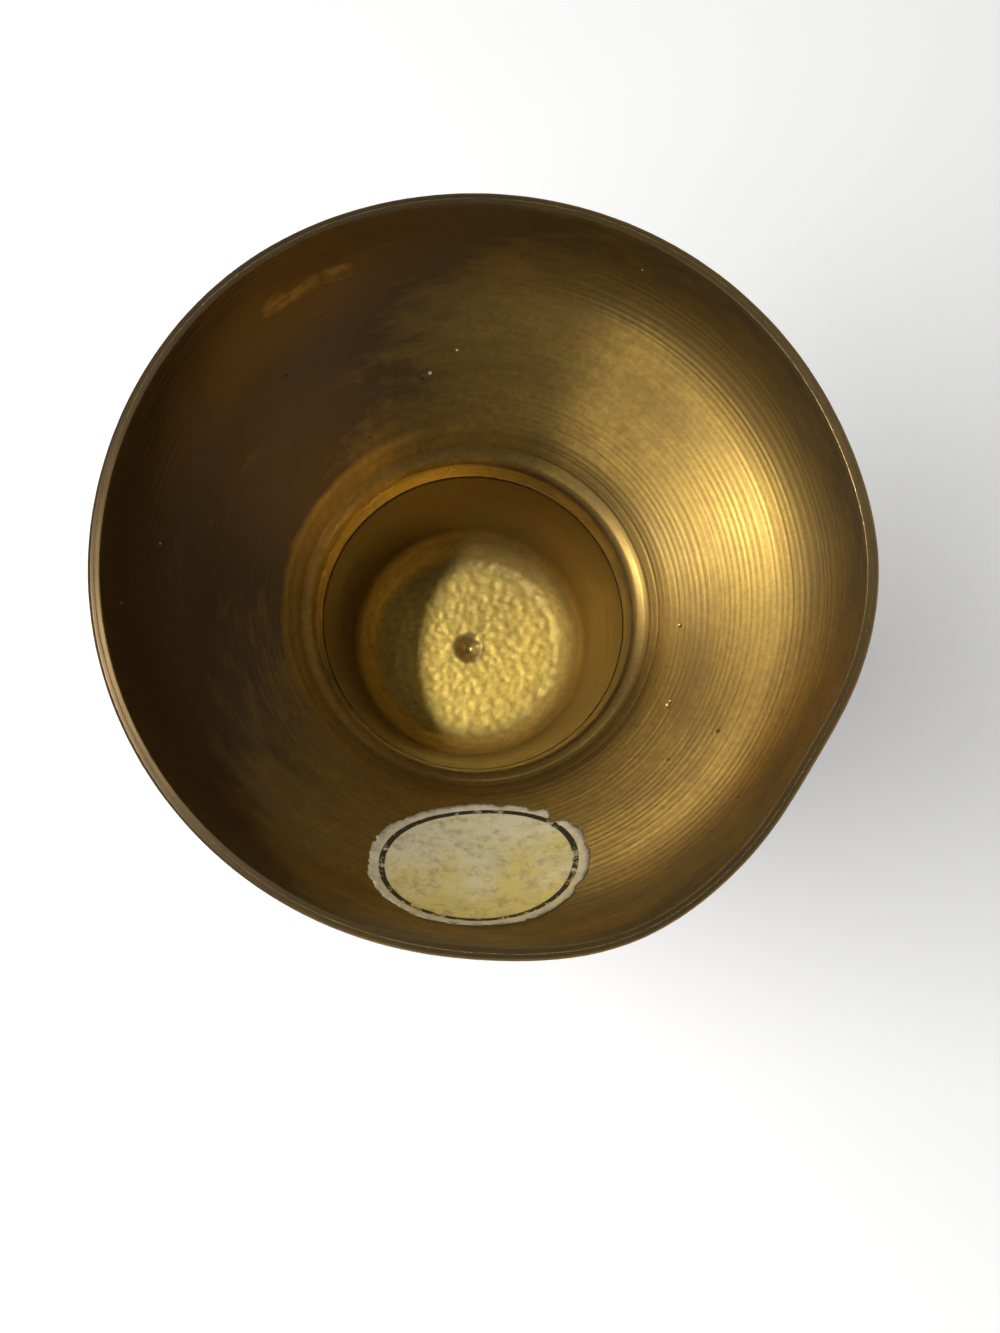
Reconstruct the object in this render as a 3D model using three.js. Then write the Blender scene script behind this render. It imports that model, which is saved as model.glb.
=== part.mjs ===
// A brass vase: a domed bell foot, a body of two soldered bowls and a trumpet neck, with an oval label.
// Millimetres, +Z up. The origin is the middle of the ring that the foot stands on.
import * as THREE from 'three';

// Gap between pieces that seat on each other or slide into each other.
const CLEARANCE = 0.3;

// Foot: from the rim inwards a steep skirt, a cone up to a crease, and a funnel that ends at the bore.
const FOOT_RADIUS = 42.5;
const RIM_WALL = 1.3;
const SKIRT_INSET = 2.3;
const SKIRT_HEIGHT = 9;
const SKIRT_ROUND = 4;
const SKIRT_STEP = 0.8;
const LIP_HEIGHT = 1.6;
const CONE_WALL = 1.7;
const CREASE_HEIGHT = 23.2;
const FUNNEL_WIDTH = 4.7;
const FUNNEL_HEIGHT = 4.6;
const FOOT_NECK_WALL = 3.2;
const FOOT_NECK_HEIGHT = 9.2;
const FOOT_NECK_STRAIGHT = 3.8;
const FOOT_COVE = 5;

// Dent in the rim: swellings out of round, as [direction in degrees, width in degrees, radial travel].
const RIM_SWELLS = [[212, 14, -1.1], [250, 16, 0.8], [178, 14, 0.4]];
const DENT_FADE_HEIGHT = 13;

// Hollow tenon of the body, which passes up through the foot's bore, and the raw cavity above it.
const TENON_RADIUS = 18.3;
const TENON_WALL = 1.2;
const TENON_RECESS = 4;
const CAVITY_RISE = 2.8;
const CAVITY_ROUND = 5.3;
const CENTRE_MARK_RADIUS = 1.3;
const CENTRE_MARK_DEPTH = 1;

// Collars: a bead between two narrow lands, on the tenon of the body and on that of the neck.
const COLLAR_LAND_HEIGHT = 1.1;
const STEM_COLLAR_HEIGHT = 6;
const STEM_COLLAR_LAND = 3.8;
const STEM_COLLAR_BEAD = 2.6;
const NECK_COLLAR_HEIGHT = 5;
const NECK_COLLAR_LAND = 3;
const NECK_COLLAR_BEAD = 2;

// Body: two bowls that lap at a seam.
const BODY_RADIUS = 35;
const BODY_WALL = 2.2;
const STEM_FLANGE = 2.2;
const LOWER_BOWL_HEIGHT = 48;
const LOWER_BOWL_TURN = 16;
const BASE_THICKNESS = 3.4;
const SEAM_LAP = 3;
const SPIGOT_WALL = 0.8;
const UPPER_BOWL_HEIGHT = 32;
const UPPER_BOWL_TURN = 16;
const SHOULDER_LAND = 3.6;
const SHOULDER_RISE = 8;
const SHOULDER_THICKNESS = 4;

// Neck: a tenon through the shoulder, a flange, a waist and a flared mouth with a rolled lip.
const NECK_TENON_RADIUS = 11.7;
const NECK_WALL = 1.5;
const NECK_TENON_OVERRUN = 2.6;
const NECK_FLANGE = 1.8;
const WAIST_HEIGHT = 8;
const WAIST_RISE = 15.3;
const TRUMPET_HEIGHT = 46;
const MOUTH_RADIUS = 31;
const FLARE_WIDTH = 4.5;
const FLARE_DROP = 6;
const LIP_BEAD_RADIUS = 1.5;

// Solder at the three joints.
const FOOT_SOLDER_CHAMFER = 2;
const SEAM_SOLDER_RADIUS = 1.2;
const NECK_SOLDER_WIDTH = 1.8;

// Label: an oval of paper at the front of the foot's inside, its middle a way down the wall from the crease.
const LABEL_WIDTH = 25.8;
const LABEL_HEIGHT = 21.6;
const LABEL_THICKNESS = 0.3;
const LABEL_FROM_CREASE = 11.6;
const LABEL_DIRECTION = 270;
const LABEL_TURN = 16;

// Fineness of the facets.
const SEGMENTS = 40;
const CORNER_STEPS = 4;
const CURVE_STEPS = 8;
const LABEL_SIDES = 24;
const LABEL_RINGS = 3;

const point = (radius, height) => new THREE.Vector2(radius, height);

// Sizes of the foot that follow from the driving ones.
const rimInner = FOOT_RADIUS - RIM_WALL;
const boreRadius = TENON_RADIUS + CLEARANCE;
const boreMouth = CREASE_HEIGHT + FUNNEL_HEIGHT;
const footTop = boreMouth + FOOT_NECK_HEIGHT;
const skirtCorner = point(rimInner - SKIRT_INSET, SKIRT_HEIGHT);
const creaseCorner = point(boreRadius + FUNNEL_WIDTH, CREASE_HEIGHT);
const coneSlope = creaseCorner.clone().sub(skirtCorner).normalize();
const coneOutward = point(coneSlope.y, -coneSlope.x);
const coneSpread = -coneSlope.x;
const apexToCrease = creaseCorner.x / coneSpread;
const footWallCorners = [
  [creaseCorner.x, creaseCorner.y],
  [skirtCorner.x, skirtCorner.y, SKIRT_ROUND],
  [rimInner, 0],
];

// Heights and radii of the pieces stacked on the foot.
const tenonEnd = boreMouth + TENON_RECESS;
const cavityRadius = TENON_RADIUS - TENON_WALL;
const stemCollarBase = footTop + CLEARANCE;
const bodyBase = stemCollarBase + STEM_COLLAR_HEIGHT + CLEARANCE;
const cavityFloor = bodyBase + CAVITY_RISE;
const vesselFloor = cavityFloor + BASE_THICKNESS;
const seamHeight = bodyBase + LOWER_BOWL_HEIGHT;
const ledgeHeight = seamHeight - SEAM_LAP;
const bodyInner = BODY_RADIUS - BODY_WALL;
const spigotOuter = bodyInner + SPIGOT_WALL;
const shoulderTop = seamHeight + UPPER_BOWL_HEIGHT;
const shoulderUnderside = shoulderTop - SHOULDER_THICKNESS;
const neckBore = NECK_TENON_RADIUS + CLEARANCE;
const landRadius = neckBore + SHOULDER_LAND;
const neckCollarBase = shoulderTop + CLEARANCE;
const neckBase = neckCollarBase + NECK_COLLAR_HEIGHT + CLEARANCE;
const neckTenonEnd = shoulderUnderside - NECK_TENON_OVERRUN;
const passageRadius = NECK_TENON_RADIUS - NECK_WALL;
const waistTop = neckBase + WAIST_HEIGHT;
const mouthHeight = neckBase + TRUMPET_HEIGHT;

const metal = (color, roughness) => new THREE.MeshStandardMaterial({ color, roughness, metalness: 1 });
const rawBrass = () => metal(0xb08a3e, 0.45);
const polishedBrass = () => metal(0xc39a45, 0.3);
const solder = () => metal(0xa9a08c, 0.5);
const paper = () => new THREE.MeshStandardMaterial({ color: 0xd9cf9a, roughness: 0.7, metalness: 0 });

// An outline through corners, each [radius, height] or [radius, height, length of the round on either side].
function cornered(corners) {
  const places = corners.map(([radius, height]) => point(radius, height));
  return corners.flatMap(([, , round = 0], index) => {
    const corner = places[index];
    if (!round) return [corner];
    const towards = (other) => corner.clone().add(other.clone().sub(corner).setLength(round));
    const start = towards(places[index - 1]);
    const end = towards(places[index + 1]);
    return new THREE.QuadraticBezierCurve(start, corner, end).getPoints(CORNER_STEPS);
  });
}

// A smooth curve between two points, with a control point for each end.
function curved(start, startControl, endControl, end) {
  return new THREE.CubicBezierCurve(start, startControl, endControl, end).getPoints(CURVE_STEPS);
}

// Part of a circle, from one angle in degrees to another.
function arc(middle, radius, from, to) {
  const [start, end] = [from, to].map(THREE.MathUtils.degToRad);
  return new THREE.EllipseCurve(middle.x, middle.y, radius, radius, start, end).getPoints(CORNER_STEPS);
}

// The same outline moved to its left, which is into the wall where the outline climbs the outside.
function inset(outline, distance) {
  return outline.map((place, index) => {
    const before = outline[Math.max(index - 1, 0)];
    const after = outline[Math.min(index + 1, outline.length - 1)];
    const along = after.clone().sub(before).normalize();
    return point(place.x - along.y * distance, place.y + along.x * distance);
  });
}

// Turns an outline about the Z axis. It runs up the outside of the piece and down its inside.
function turned(name, outline, material) {
  const geometry = new THREE.LatheGeometry(outline, SEGMENTS);
  geometry.rotateX(Math.PI / 2);
  const mesh = new THREE.Mesh(geometry, material);
  mesh.name = name;
  return mesh;
}

const closed = (outline) => [...outline, outline[0]];

// The rim's travel out of round in one direction, greatest at the rim and gone above the skirt.
function rimTravel(direction, height) {
  const fade = 1 - THREE.MathUtils.smoothstep(height, 0, DENT_FADE_HEIGHT);
  const swell = ([middle, width, travel]) => {
    const away = THREE.MathUtils.euclideanModulo(direction - middle + 180, 360) - 180;
    return travel * Math.exp(-((away / width) ** 2));
  };
  return fade * RIM_SWELLS.reduce((sum, one) => sum + swell(one), 0);
}

function dentRim(geometry) {
  const places = geometry.getAttribute('position');
  for (let index = 0; index < places.count; index += 1) {
    const x = places.getX(index);
    const y = places.getY(index);
    const radius = Math.hypot(x, y);
    const direction = THREE.MathUtils.radToDeg(Math.atan2(y, x));
    const scale = (radius + rimTravel(direction, places.getZ(index))) / radius;
    places.setX(index, x * scale);
    places.setY(index, y * scale);
  }
}

function makeFoot() {
  const coneFoot = skirtCorner.clone().addScaledVector(coneOutward, CONE_WALL);
  const coneTop = creaseCorner.clone().addScaledVector(coneOutward, CONE_WALL);
  const neckRadius = boreRadius + FOOT_NECK_WALL;
  const outside = cornered([
    [FOOT_RADIUS, 0],
    [FOOT_RADIUS, LIP_HEIGHT],
    [coneFoot.x + SKIRT_STEP, coneFoot.y - SKIRT_STEP],
    [coneFoot.x, coneFoot.y - SKIRT_STEP],
    [coneFoot.x, coneFoot.y, SKIRT_STEP / 2],
    [coneTop.x, coneTop.y, FOOT_COVE],
    [neckRadius, footTop - FOOT_NECK_STRAIGHT],
    [neckRadius, footTop],
  ]);
  const inside = cornered([
    [boreRadius + FOOT_SOLDER_CHAMFER, footTop],
    [boreRadius, footTop - FOOT_SOLDER_CHAMFER],
    [boreRadius, boreMouth],
    ...footWallCorners,
  ]);
  const foot = turned('foot', closed([...outside, ...inside]), rawBrass());
  dentRim(foot.geometry);
  return foot;
}

function makeFootSolderRing() {
  const side = FOOT_SOLDER_CHAMFER - 2 * CLEARANCE;
  const outline = [
    point(boreRadius, footTop - side),
    point(boreRadius + side, footTop),
    point(boreRadius, footTop),
  ];
  return turned('foot_solder_ring', closed(outline), solder());
}

function makeCollar(name, bore, base, height, landWidth, beadWidth) {
  const land = bore + landWidth;
  const top = base + height;
  const bead = new THREE.EllipseCurve(
    land, (base + top) / 2, beadWidth, height / 2 - COLLAR_LAND_HEIGHT, -Math.PI / 2, Math.PI / 2,
  );
  const outline = [
    point(bore, base),
    point(land, base),
    ...bead.getPoints(CURVE_STEPS),
    point(land, top),
    point(bore, top),
  ];
  return turned(name, closed(outline), polishedBrass());
}

function makeLowerBowl() {
  const stemRadius = TENON_RADIUS + STEM_FLANGE;
  const underside = cornered([
    [0, cavityFloor + CENTRE_MARK_DEPTH],
    [CENTRE_MARK_RADIUS, cavityFloor],
    [cavityRadius, cavityFloor, CAVITY_ROUND],
    [cavityRadius, tenonEnd],
    [TENON_RADIUS, tenonEnd],
    [TENON_RADIUS, bodyBase],
  ]);
  const outside = curved(
    point(stemRadius, bodyBase),
    point(stemRadius, bodyBase + LOWER_BOWL_TURN),
    point(BODY_RADIUS, bodyBase + LOWER_BOWL_TURN),
    point(BODY_RADIUS, seamHeight),
  );
  const lap = [
    point(spigotOuter + CLEARANCE, seamHeight),
    point(spigotOuter + CLEARANCE, ledgeHeight),
    point(bodyInner, ledgeHeight),
  ];
  const isWall = (place) => place.y < ledgeHeight - BODY_WALL && place.y > vesselFloor + BODY_WALL;
  const inside = inset(outside, BODY_WALL).filter(isWall).reverse();
  const outline = [...underside, ...outside, ...lap, ...inside, point(0, vesselFloor)];
  return turned('lower_bowl', outline, polishedBrass());
}

function makeSeamSolderRing() {
  const middle = point(bodyInner - CLEARANCE, ledgeHeight + CLEARANCE / 2);
  return turned('seam_solder_ring', closed(arc(middle, SEAM_SOLDER_RADIUS, 90, 270)), solder());
}

function makeUpperBowl() {
  const base = seamHeight + CLEARANCE;
  const outside = curved(
    point(BODY_RADIUS, base),
    point(BODY_RADIUS, base + UPPER_BOWL_TURN),
    point(landRadius, shoulderTop - SHOULDER_RISE),
    point(landRadius, shoulderTop),
  );
  const isWall = (place) => place.y < shoulderUnderside && place.x > landRadius;
  const inside = inset(outside, BODY_WALL).filter(isWall).reverse();
  const outline = [
    ...outside,
    point(neckBore, shoulderTop),
    point(neckBore, shoulderUnderside),
    point(neckBore + NECK_SOLDER_WIDTH + CLEARANCE, shoulderUnderside),
    ...inside,
    point(bodyInner, ledgeHeight + CLEARANCE),
    point(spigotOuter, ledgeHeight + CLEARANCE),
    point(spigotOuter, base),
  ];
  return turned('upper_bowl', closed(outline), polishedBrass());
}

function makeNeckSolderRing() {
  const top = shoulderUnderside - CLEARANCE;
  const outline = [
    point(neckBore, top - NECK_SOLDER_WIDTH),
    point(neckBore + NECK_SOLDER_WIDTH, top),
    point(neckBore, top),
  ];
  return turned('neck_solder_ring', closed(outline), solder());
}

function makeTrumpetNeck() {
  const flange = NECK_TENON_RADIUS + NECK_FLANGE;
  const lipMiddle = point(MOUTH_RADIUS - LIP_BEAD_RADIUS, mouthHeight - LIP_BEAD_RADIUS);
  const flareTop = point(lipMiddle.x, lipMiddle.y - LIP_BEAD_RADIUS);
  const stem = [
    point(NECK_TENON_RADIUS, neckTenonEnd),
    point(NECK_TENON_RADIUS, neckBase),
    point(flange, neckBase),
    point(flange, neckBase + NECK_FLANGE),
  ];
  const flare = curved(
    point(NECK_TENON_RADIUS, waistTop),
    point(NECK_TENON_RADIUS, waistTop + WAIST_RISE),
    point(flareTop.x - FLARE_WIDTH, flareTop.y - FLARE_DROP),
    flareTop,
  );
  const lip = arc(lipMiddle, LIP_BEAD_RADIUS, -45, 135);
  const inside = inset(flare, NECK_WALL).filter((place) => place.y < lipMiddle.y).reverse();
  const outline = [...stem, ...flare, ...lip, ...inside, point(passageRadius, neckTenonEnd)];
  return turned('trumpet_neck', closed(outline), polishedBrass());
}

// A place on flat paper laid on the foot's inside cone: across and down are measured on the paper, from the
// point of the crease above its middle, and lift is measured off the wall.
function onFootWall(across, down, lift) {
  const wall = cornered(footWallCorners);
  const turn = Math.atan2(across, apexToCrease + down) / coneSpread;
  let left = Math.hypot(across, apexToCrease + down) - apexToCrease;
  let index = 0;
  while (index < wall.length - 2 && left > wall[index].distanceTo(wall[index + 1])) {
    left -= wall[index].distanceTo(wall[index + 1]);
    index += 1;
  }
  const along = wall[index + 1].clone().sub(wall[index]).normalize();
  const place = wall[index].clone().addScaledVector(along, left);
  place.addScaledVector(point(along.y, -along.x), lift);
  const direction = THREE.MathUtils.degToRad(LABEL_DIRECTION) - turn;
  return new THREE.Vector3(place.x * Math.cos(direction), place.x * Math.sin(direction), place.y);
}

// The label's places on one side of the paper: its middle, then rings of points out to its edge.
function labelLayer(lift) {
  const places = [onFootWall(0, LABEL_FROM_CREASE, lift)];
  for (let ring = 1; ring <= LABEL_RINGS; ring += 1) {
    const share = ring / LABEL_RINGS / 2;
    for (let side = 0; side < LABEL_SIDES; side += 1) {
      const angle = 2 * Math.PI * side / LABEL_SIDES;
      const offset = point(Math.cos(angle) * LABEL_WIDTH * share, Math.sin(angle) * LABEL_HEIGHT * share);
      offset.rotateAround(point(0, 0), THREE.MathUtils.degToRad(LABEL_TURN));
      places.push(onFootWall(offset.x, LABEL_FROM_CREASE - offset.y, lift));
    }
  }
  return places;
}

function makeLabel() {
  const back = labelLayer(CLEARANCE);
  const front = labelLayer(CLEARANCE + LABEL_THICKNESS);
  const at = (layer, ring, side) => layer * back.length + 1 + (ring - 1) * LABEL_SIDES + side % LABEL_SIDES;
  const faces = [];
  const quad = (a, b, c, d) => faces.push(a, b, c, a, c, d);
  for (let side = 0; side < LABEL_SIDES; side += 1) {
    const next = side + 1;
    faces.push(0, at(0, 1, next), at(0, 1, side));
    faces.push(back.length, at(1, 1, side), at(1, 1, next));
    for (let ring = 1; ring < LABEL_RINGS; ring += 1) {
      const wider = ring + 1;
      quad(at(0, ring, side), at(0, ring, next), at(0, wider, next), at(0, wider, side));
      quad(at(1, ring, side), at(1, wider, side), at(1, wider, next), at(1, ring, next));
    }
    const edge = LABEL_RINGS;
    quad(at(0, edge, side), at(0, edge, next), at(1, edge, next), at(1, edge, side));
  }
  const geometry = new THREE.BufferGeometry().setFromPoints([...back, ...front]);
  geometry.setIndex(faces);
  geometry.computeVertexNormals();
  const label = new THREE.Mesh(geometry, paper());
  label.name = 'label';
  return label;
}

const vase = new THREE.Group();
vase.add(
  makeFoot(),
  makeFootSolderRing(),
  makeCollar(
    'stem_collar', boreRadius, stemCollarBase, STEM_COLLAR_HEIGHT, STEM_COLLAR_LAND, STEM_COLLAR_BEAD,
  ),
  makeLowerBowl(),
  makeSeamSolderRing(),
  makeUpperBowl(),
  makeCollar(
    'neck_collar', neckBore, neckCollarBase, NECK_COLLAR_HEIGHT, NECK_COLLAR_LAND, NECK_COLLAR_BEAD,
  ),
  makeNeckSolderRing(),
  makeTrumpetNeck(),
  makeLabel(),
);

export default vase;
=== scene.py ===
import math

import bmesh
import bpy
from bpy.props import FloatProperty, FloatVectorProperty, IntProperty, PointerProperty
from mathutils import Matrix, Vector, noise


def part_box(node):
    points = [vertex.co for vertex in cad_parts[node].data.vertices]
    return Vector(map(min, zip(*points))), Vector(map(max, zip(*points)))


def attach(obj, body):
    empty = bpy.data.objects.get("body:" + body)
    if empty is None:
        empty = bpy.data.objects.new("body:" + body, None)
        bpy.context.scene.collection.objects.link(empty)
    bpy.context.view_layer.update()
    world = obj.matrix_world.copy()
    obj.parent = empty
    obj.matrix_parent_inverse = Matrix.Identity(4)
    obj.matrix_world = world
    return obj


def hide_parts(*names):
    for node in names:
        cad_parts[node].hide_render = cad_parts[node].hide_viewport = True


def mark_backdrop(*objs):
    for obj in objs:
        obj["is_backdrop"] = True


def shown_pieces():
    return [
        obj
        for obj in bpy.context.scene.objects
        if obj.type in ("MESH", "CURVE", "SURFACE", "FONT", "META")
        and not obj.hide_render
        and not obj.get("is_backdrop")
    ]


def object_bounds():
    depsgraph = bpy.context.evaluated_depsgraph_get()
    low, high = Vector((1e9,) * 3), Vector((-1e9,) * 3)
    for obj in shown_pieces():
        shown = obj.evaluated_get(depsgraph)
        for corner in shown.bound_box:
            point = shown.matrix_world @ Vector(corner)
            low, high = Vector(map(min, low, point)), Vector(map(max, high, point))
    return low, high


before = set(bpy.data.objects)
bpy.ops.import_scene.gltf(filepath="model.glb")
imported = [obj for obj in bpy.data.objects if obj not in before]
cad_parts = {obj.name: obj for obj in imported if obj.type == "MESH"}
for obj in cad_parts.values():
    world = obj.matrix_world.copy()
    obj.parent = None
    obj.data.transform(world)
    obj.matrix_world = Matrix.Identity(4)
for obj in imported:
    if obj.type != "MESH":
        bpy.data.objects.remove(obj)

bl_info = {
    "name": "Brass vase",
    "version": (1, 0, 0),
    "blender": (4, 5, 0),
    "location": "3D View > Sidebar > Vase",
    "description": "Builds the surfaces of a turned brass vase around its packed frame",
    "category": "Add Mesh",
}

CAD_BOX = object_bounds()
MM = 0.001

# Finishes of a turned surface, as the shares that are polished, raw casting and darkened. The darkening is
# grime, and also painted shade deep in the bore, on the solder run and in hollow corners.
MARKS = ("polish", "cast", "grime_and_shade")
POLISHED = (1.0, 0.0, 0.0)
WORN = (0.2, 0.12, 0.68)
TURNED = (0.0, 0.0, 0.0)
BURNISHED = (0.8, 0.0, 0.0)
BORED = (0.0, 0.0, 1.0)
SOLDERED = (0.2, 0.0, 1.0)
CAST = (0.0, 1.0, 0.0)
PITTED = (0.0, 0.5, 0.5)

# Radius of the circle that sections are swept along. Each section is drawn from it.
HUB = 1 * MM
WELD = 0.002 * MM

# Lines cut into the turned surfaces, at distances in millimetres along their runs.
LINE_WIDTH = 0.55 * MM
LINE_DEPTH = 0.2 * MM
FOOT_LINES = (12.4, 13.5, 27.5)
LOWER_BOWL_LINES = (41, 42.2)
UPPER_BOWL_LINES = (8, 9.2)
NECK_LINES = (4, 38, 39.2)
FUNNEL_LINES = (5.9, 7.4)
FUNNEL_LINE_WIDTH = 0.5 * MM
FUNNEL_LINE_DEPTH = 0.025 * MM

# Ripples of the lathe on the bowls and the neck.
SHELL_RIPPLE = {"Ripple": 0.004 * MM, "Ripple_Length": 1.4}

# How far the darkening of a hollow corner reaches: grime and painted shade.
CREVICE_REACH = 1.1 * MM

# Specks: size of the cells that hold at most one each, their size and the share of cells that have one.
SPECK_CELL = 3.2 * MM
DARK_SPECKS = {"Size": 0.26 * MM, "Share": 0.12}
DUST_SPECKS = {"Size": 0.17 * MM, "Share": 0.05}
DUST_SHIFT = (0.031, 0.017, 0.043)

# Brass: sizes of its patterns, and how strongly each of them shows, in pairs on turned and polished brass.
LATHE_LINE_SPACING = 0.8
LATHE_LINE_SHARES = (1.0, 0.12)
BLOTCH_SIZE = 0.9 * MM
BLOTCH_SHARES = (0.4, 0.12)
GRIME_AND_SHADE_SHARE = 0.8
FACE_SHADE_SHARE = 0.3
CAST_FILM_SHARE = 0.05
CAST_DULLNESS = 0.5
DUST_DULLNESS = 0.8
FILM_ROUGHNESS = 0.1
BLOTCH_ROUGHNESS = 0.12
NICK_DEPTH = 18.0

# Marks on the inside of the foot: place and radius in millimetres.
FOOT_NICKS = (
    ((-24.44, -2.01, 22.09), 0.35), ((-22.65, -12.1, 21.04), 0.4), ((-22.9, -11.6, 21.0), 0.25),
)
FOOT_PITS = (((-27.55, -15.98, 15.43), 0.45), ((-27.0, -16.3, 15.9), 0.3))
# Spots on the skirt where the lighter streak shows: a painted reflection.
FOOT_STREAK_SPOTS = (((23.5, 31.4, 6.2), 3.5), ((20.6, 33.4, 6.5), 4.5), ((16.9, 35.4, 6.9), 4.0))
FOOT_DUST = (((5.88, 27.9, 18.46), 0.3), ((2.69, 30.24, 16.78), 0.22))

# Painted shade on the top of the raw face inside the tenon, with the dark streaks that lie there, so that
# its lit patch falls off upward: place and radius, the same way.
FACE_SHADE_SPOTS = (((-1.0, 9.0, 46.4), 12.0),)

# The rim's swellings out of round: direction and width in degrees, radial travel in millimetres.
RIM_SWELLS = ((212, 14, -1.1), (250, 16, 1.2), (178, 14, 0.5), (50, 24, 0.45))

# Painted shade inside the foot: the side it lies heaviest towards, the side of the bore's mouth it lies
# towards, and the height of a lighter streak on the skirt, which is a painted reflection.
SHADED_SIDE = (0.95, 0.3, 0.0)
MOUTH_SHADED_SIDE = (-0.71, -0.71, 0.0)
STREAK_HEIGHT = 6.6 * MM

# The label's edge: pace and depth of its ragged waves, and direction, width and depth of its chips.
LABEL_RAGS = ((6, 0.018), (17, 0.02), (41, 0.014))
LABEL_CHIPS = ((62, 3, 0.05), (44, 4, 0.05), (27, 5, 0.12), (205, 9, 0.02), (318, 6, 0.03), (262, 5, 0.02))

# Lamps: name, place, aim, width and height in metres, power in watts.
VASE_MIDDLE = (0.0, 0.0, 0.08)
LAMPS = (
    ("Softbox above", (-0.45, -0.35, 0.8), VASE_MIDDLE, 0.9, 0.9, 8.0),
    ("Fill", (0.75, 0.25, 0.5), VASE_MIDDLE, 0.4, 0.7, 3.0),
    ("Window below", (0.36, 0.03, -0.455), (0.0, 0.0, 0.046), 0.022, 0.05, 3.2),
    ("Low window", (0.47, 0.33, -0.125), (-0.03, 0.0, 0.014), 1.1, 0.22, 1.0),
    ("Window edge", (0.54, -0.045, -0.2), (-0.03, 0.01, 0.014), 0.16, 0.12, 0.05),
    ("Side window", (0.16, 0.44, -0.17), (0.0, 0.0, 0.015), 0.4, 0.2, 0.25),
    ("Room below", (0.475, -0.35, -0.275), (0.0, 0.0, 0.015), 0.52, 0.25, 0.34),
)
BACKDROP_LAMP = ("Backdrop light", (0.36, -0.11, -0.42), (0.0, 0.0, 0.17), 0.46, 0.46, 17.0)

# Dark cards round the vase: direction in degrees and width in metres.
DARK_CARDS = ((12, 0.16), (78, 0.24), (140, 0.13), (196, 0.22), (262, 0.15), (318, 0.2))
CARD_DISTANCE = 0.5
CARD_HEIGHTS = (0.02, 0.75)

# Floor and backdrop: how much light they send back, and their own glow to the camera, which goes over from
# the third number to the fourth between the first and the second distance from the middle, in metres.
FLOOR_ALBEDO = 0.8
FLOOR_GLOW = (0.1, 0.7, 0.3, 0.8)
FLOOR_RINGS = (0, 5, 50, 400)
BACKDROP_ALBEDO = 0.3
BACKDROP_GLOW = (0.35, 0.6, 0.1, 1.0)
BACKDROP_HALF = 0.6
SQUARE = ((-1, -1), (-1, 1), (1, 1), (1, -1))
WHITE = (1.0, 1.0, 1.0)
NEAR_BLACK = (0.02, 0.02, 0.02)


def length(name, description, millimetres):
    """A size in metres, given in millimetres."""
    return FloatProperty(
        name=name, description=description, default=millimetres * MM, unit="LENGTH", precision=5
    )


def colour(name, description, red, green, blue):
    """A linear colour."""
    return FloatVectorProperty(
        name=name, description=description, default=(red, green, blue), subtype="COLOR", min=0, max=1
    )


def factor(name, description, value):
    """A number from 0 to 1."""
    return FloatProperty(name=name, description=description, default=value, subtype="FACTOR", min=0, max=1)


class FootSizes(bpy.types.PropertyGroup):
    """Sizes of the bell foot."""

    rim_wall: length("Rim wall", "Width of the flat edge that the foot stands on", 1.3)
    skirt_inset: length("Skirt inset", "How far the skirt's inside leans in from the rim", 2.3)
    skirt_height: length("Skirt height", "Height of the corner between the skirt and the cone", 9)
    skirt_round: length("Skirt round", "Reach of the round between the skirt and the cone", 6.2)
    lip_height: length("Lip height", "Height of the upright lip at the rim", 1.6)
    step: length("Step", "Width and height of the step above the skirt's outside", 0.8)
    cone_wall: length("Cone wall", "Thickness of the cone", 1.7)
    crease_height: length("Crease height", "Height of the crease between the cone and the funnel", 23.2)
    funnel_width: length("Funnel width", "How far the funnel narrows to the bore", 4.7)
    funnel_height: length("Funnel height", "Rise of the funnel", 4.6)
    bore: length("Bore", "Radius of the bore that takes the tenon", 18.6)
    mouth_rise: length("Mouth rise", "How far above the funnel the bore begins to open", 2)
    mouth_flare: length("Mouth flare", "How far the bore opens at its mouth, out and down", 0.7)
    neck_wall: length("Neck wall", "Thickness of the foot's neck", 3.2)
    neck_straight: length("Neck straight", "Height of the straight top of the foot's neck", 3.8)
    cove: length("Cove", "Reach of the cove under the foot's neck", 5)
    chamfer: length("Chamfer", "Chamfer at the top of the bore", 2)
    fade_height: length("Fade height", "Height at which the dents of the rim die out", 13)
    ripple: length("Ripple", "Depth of the ripples that the lathe left", 0.006)


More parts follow.
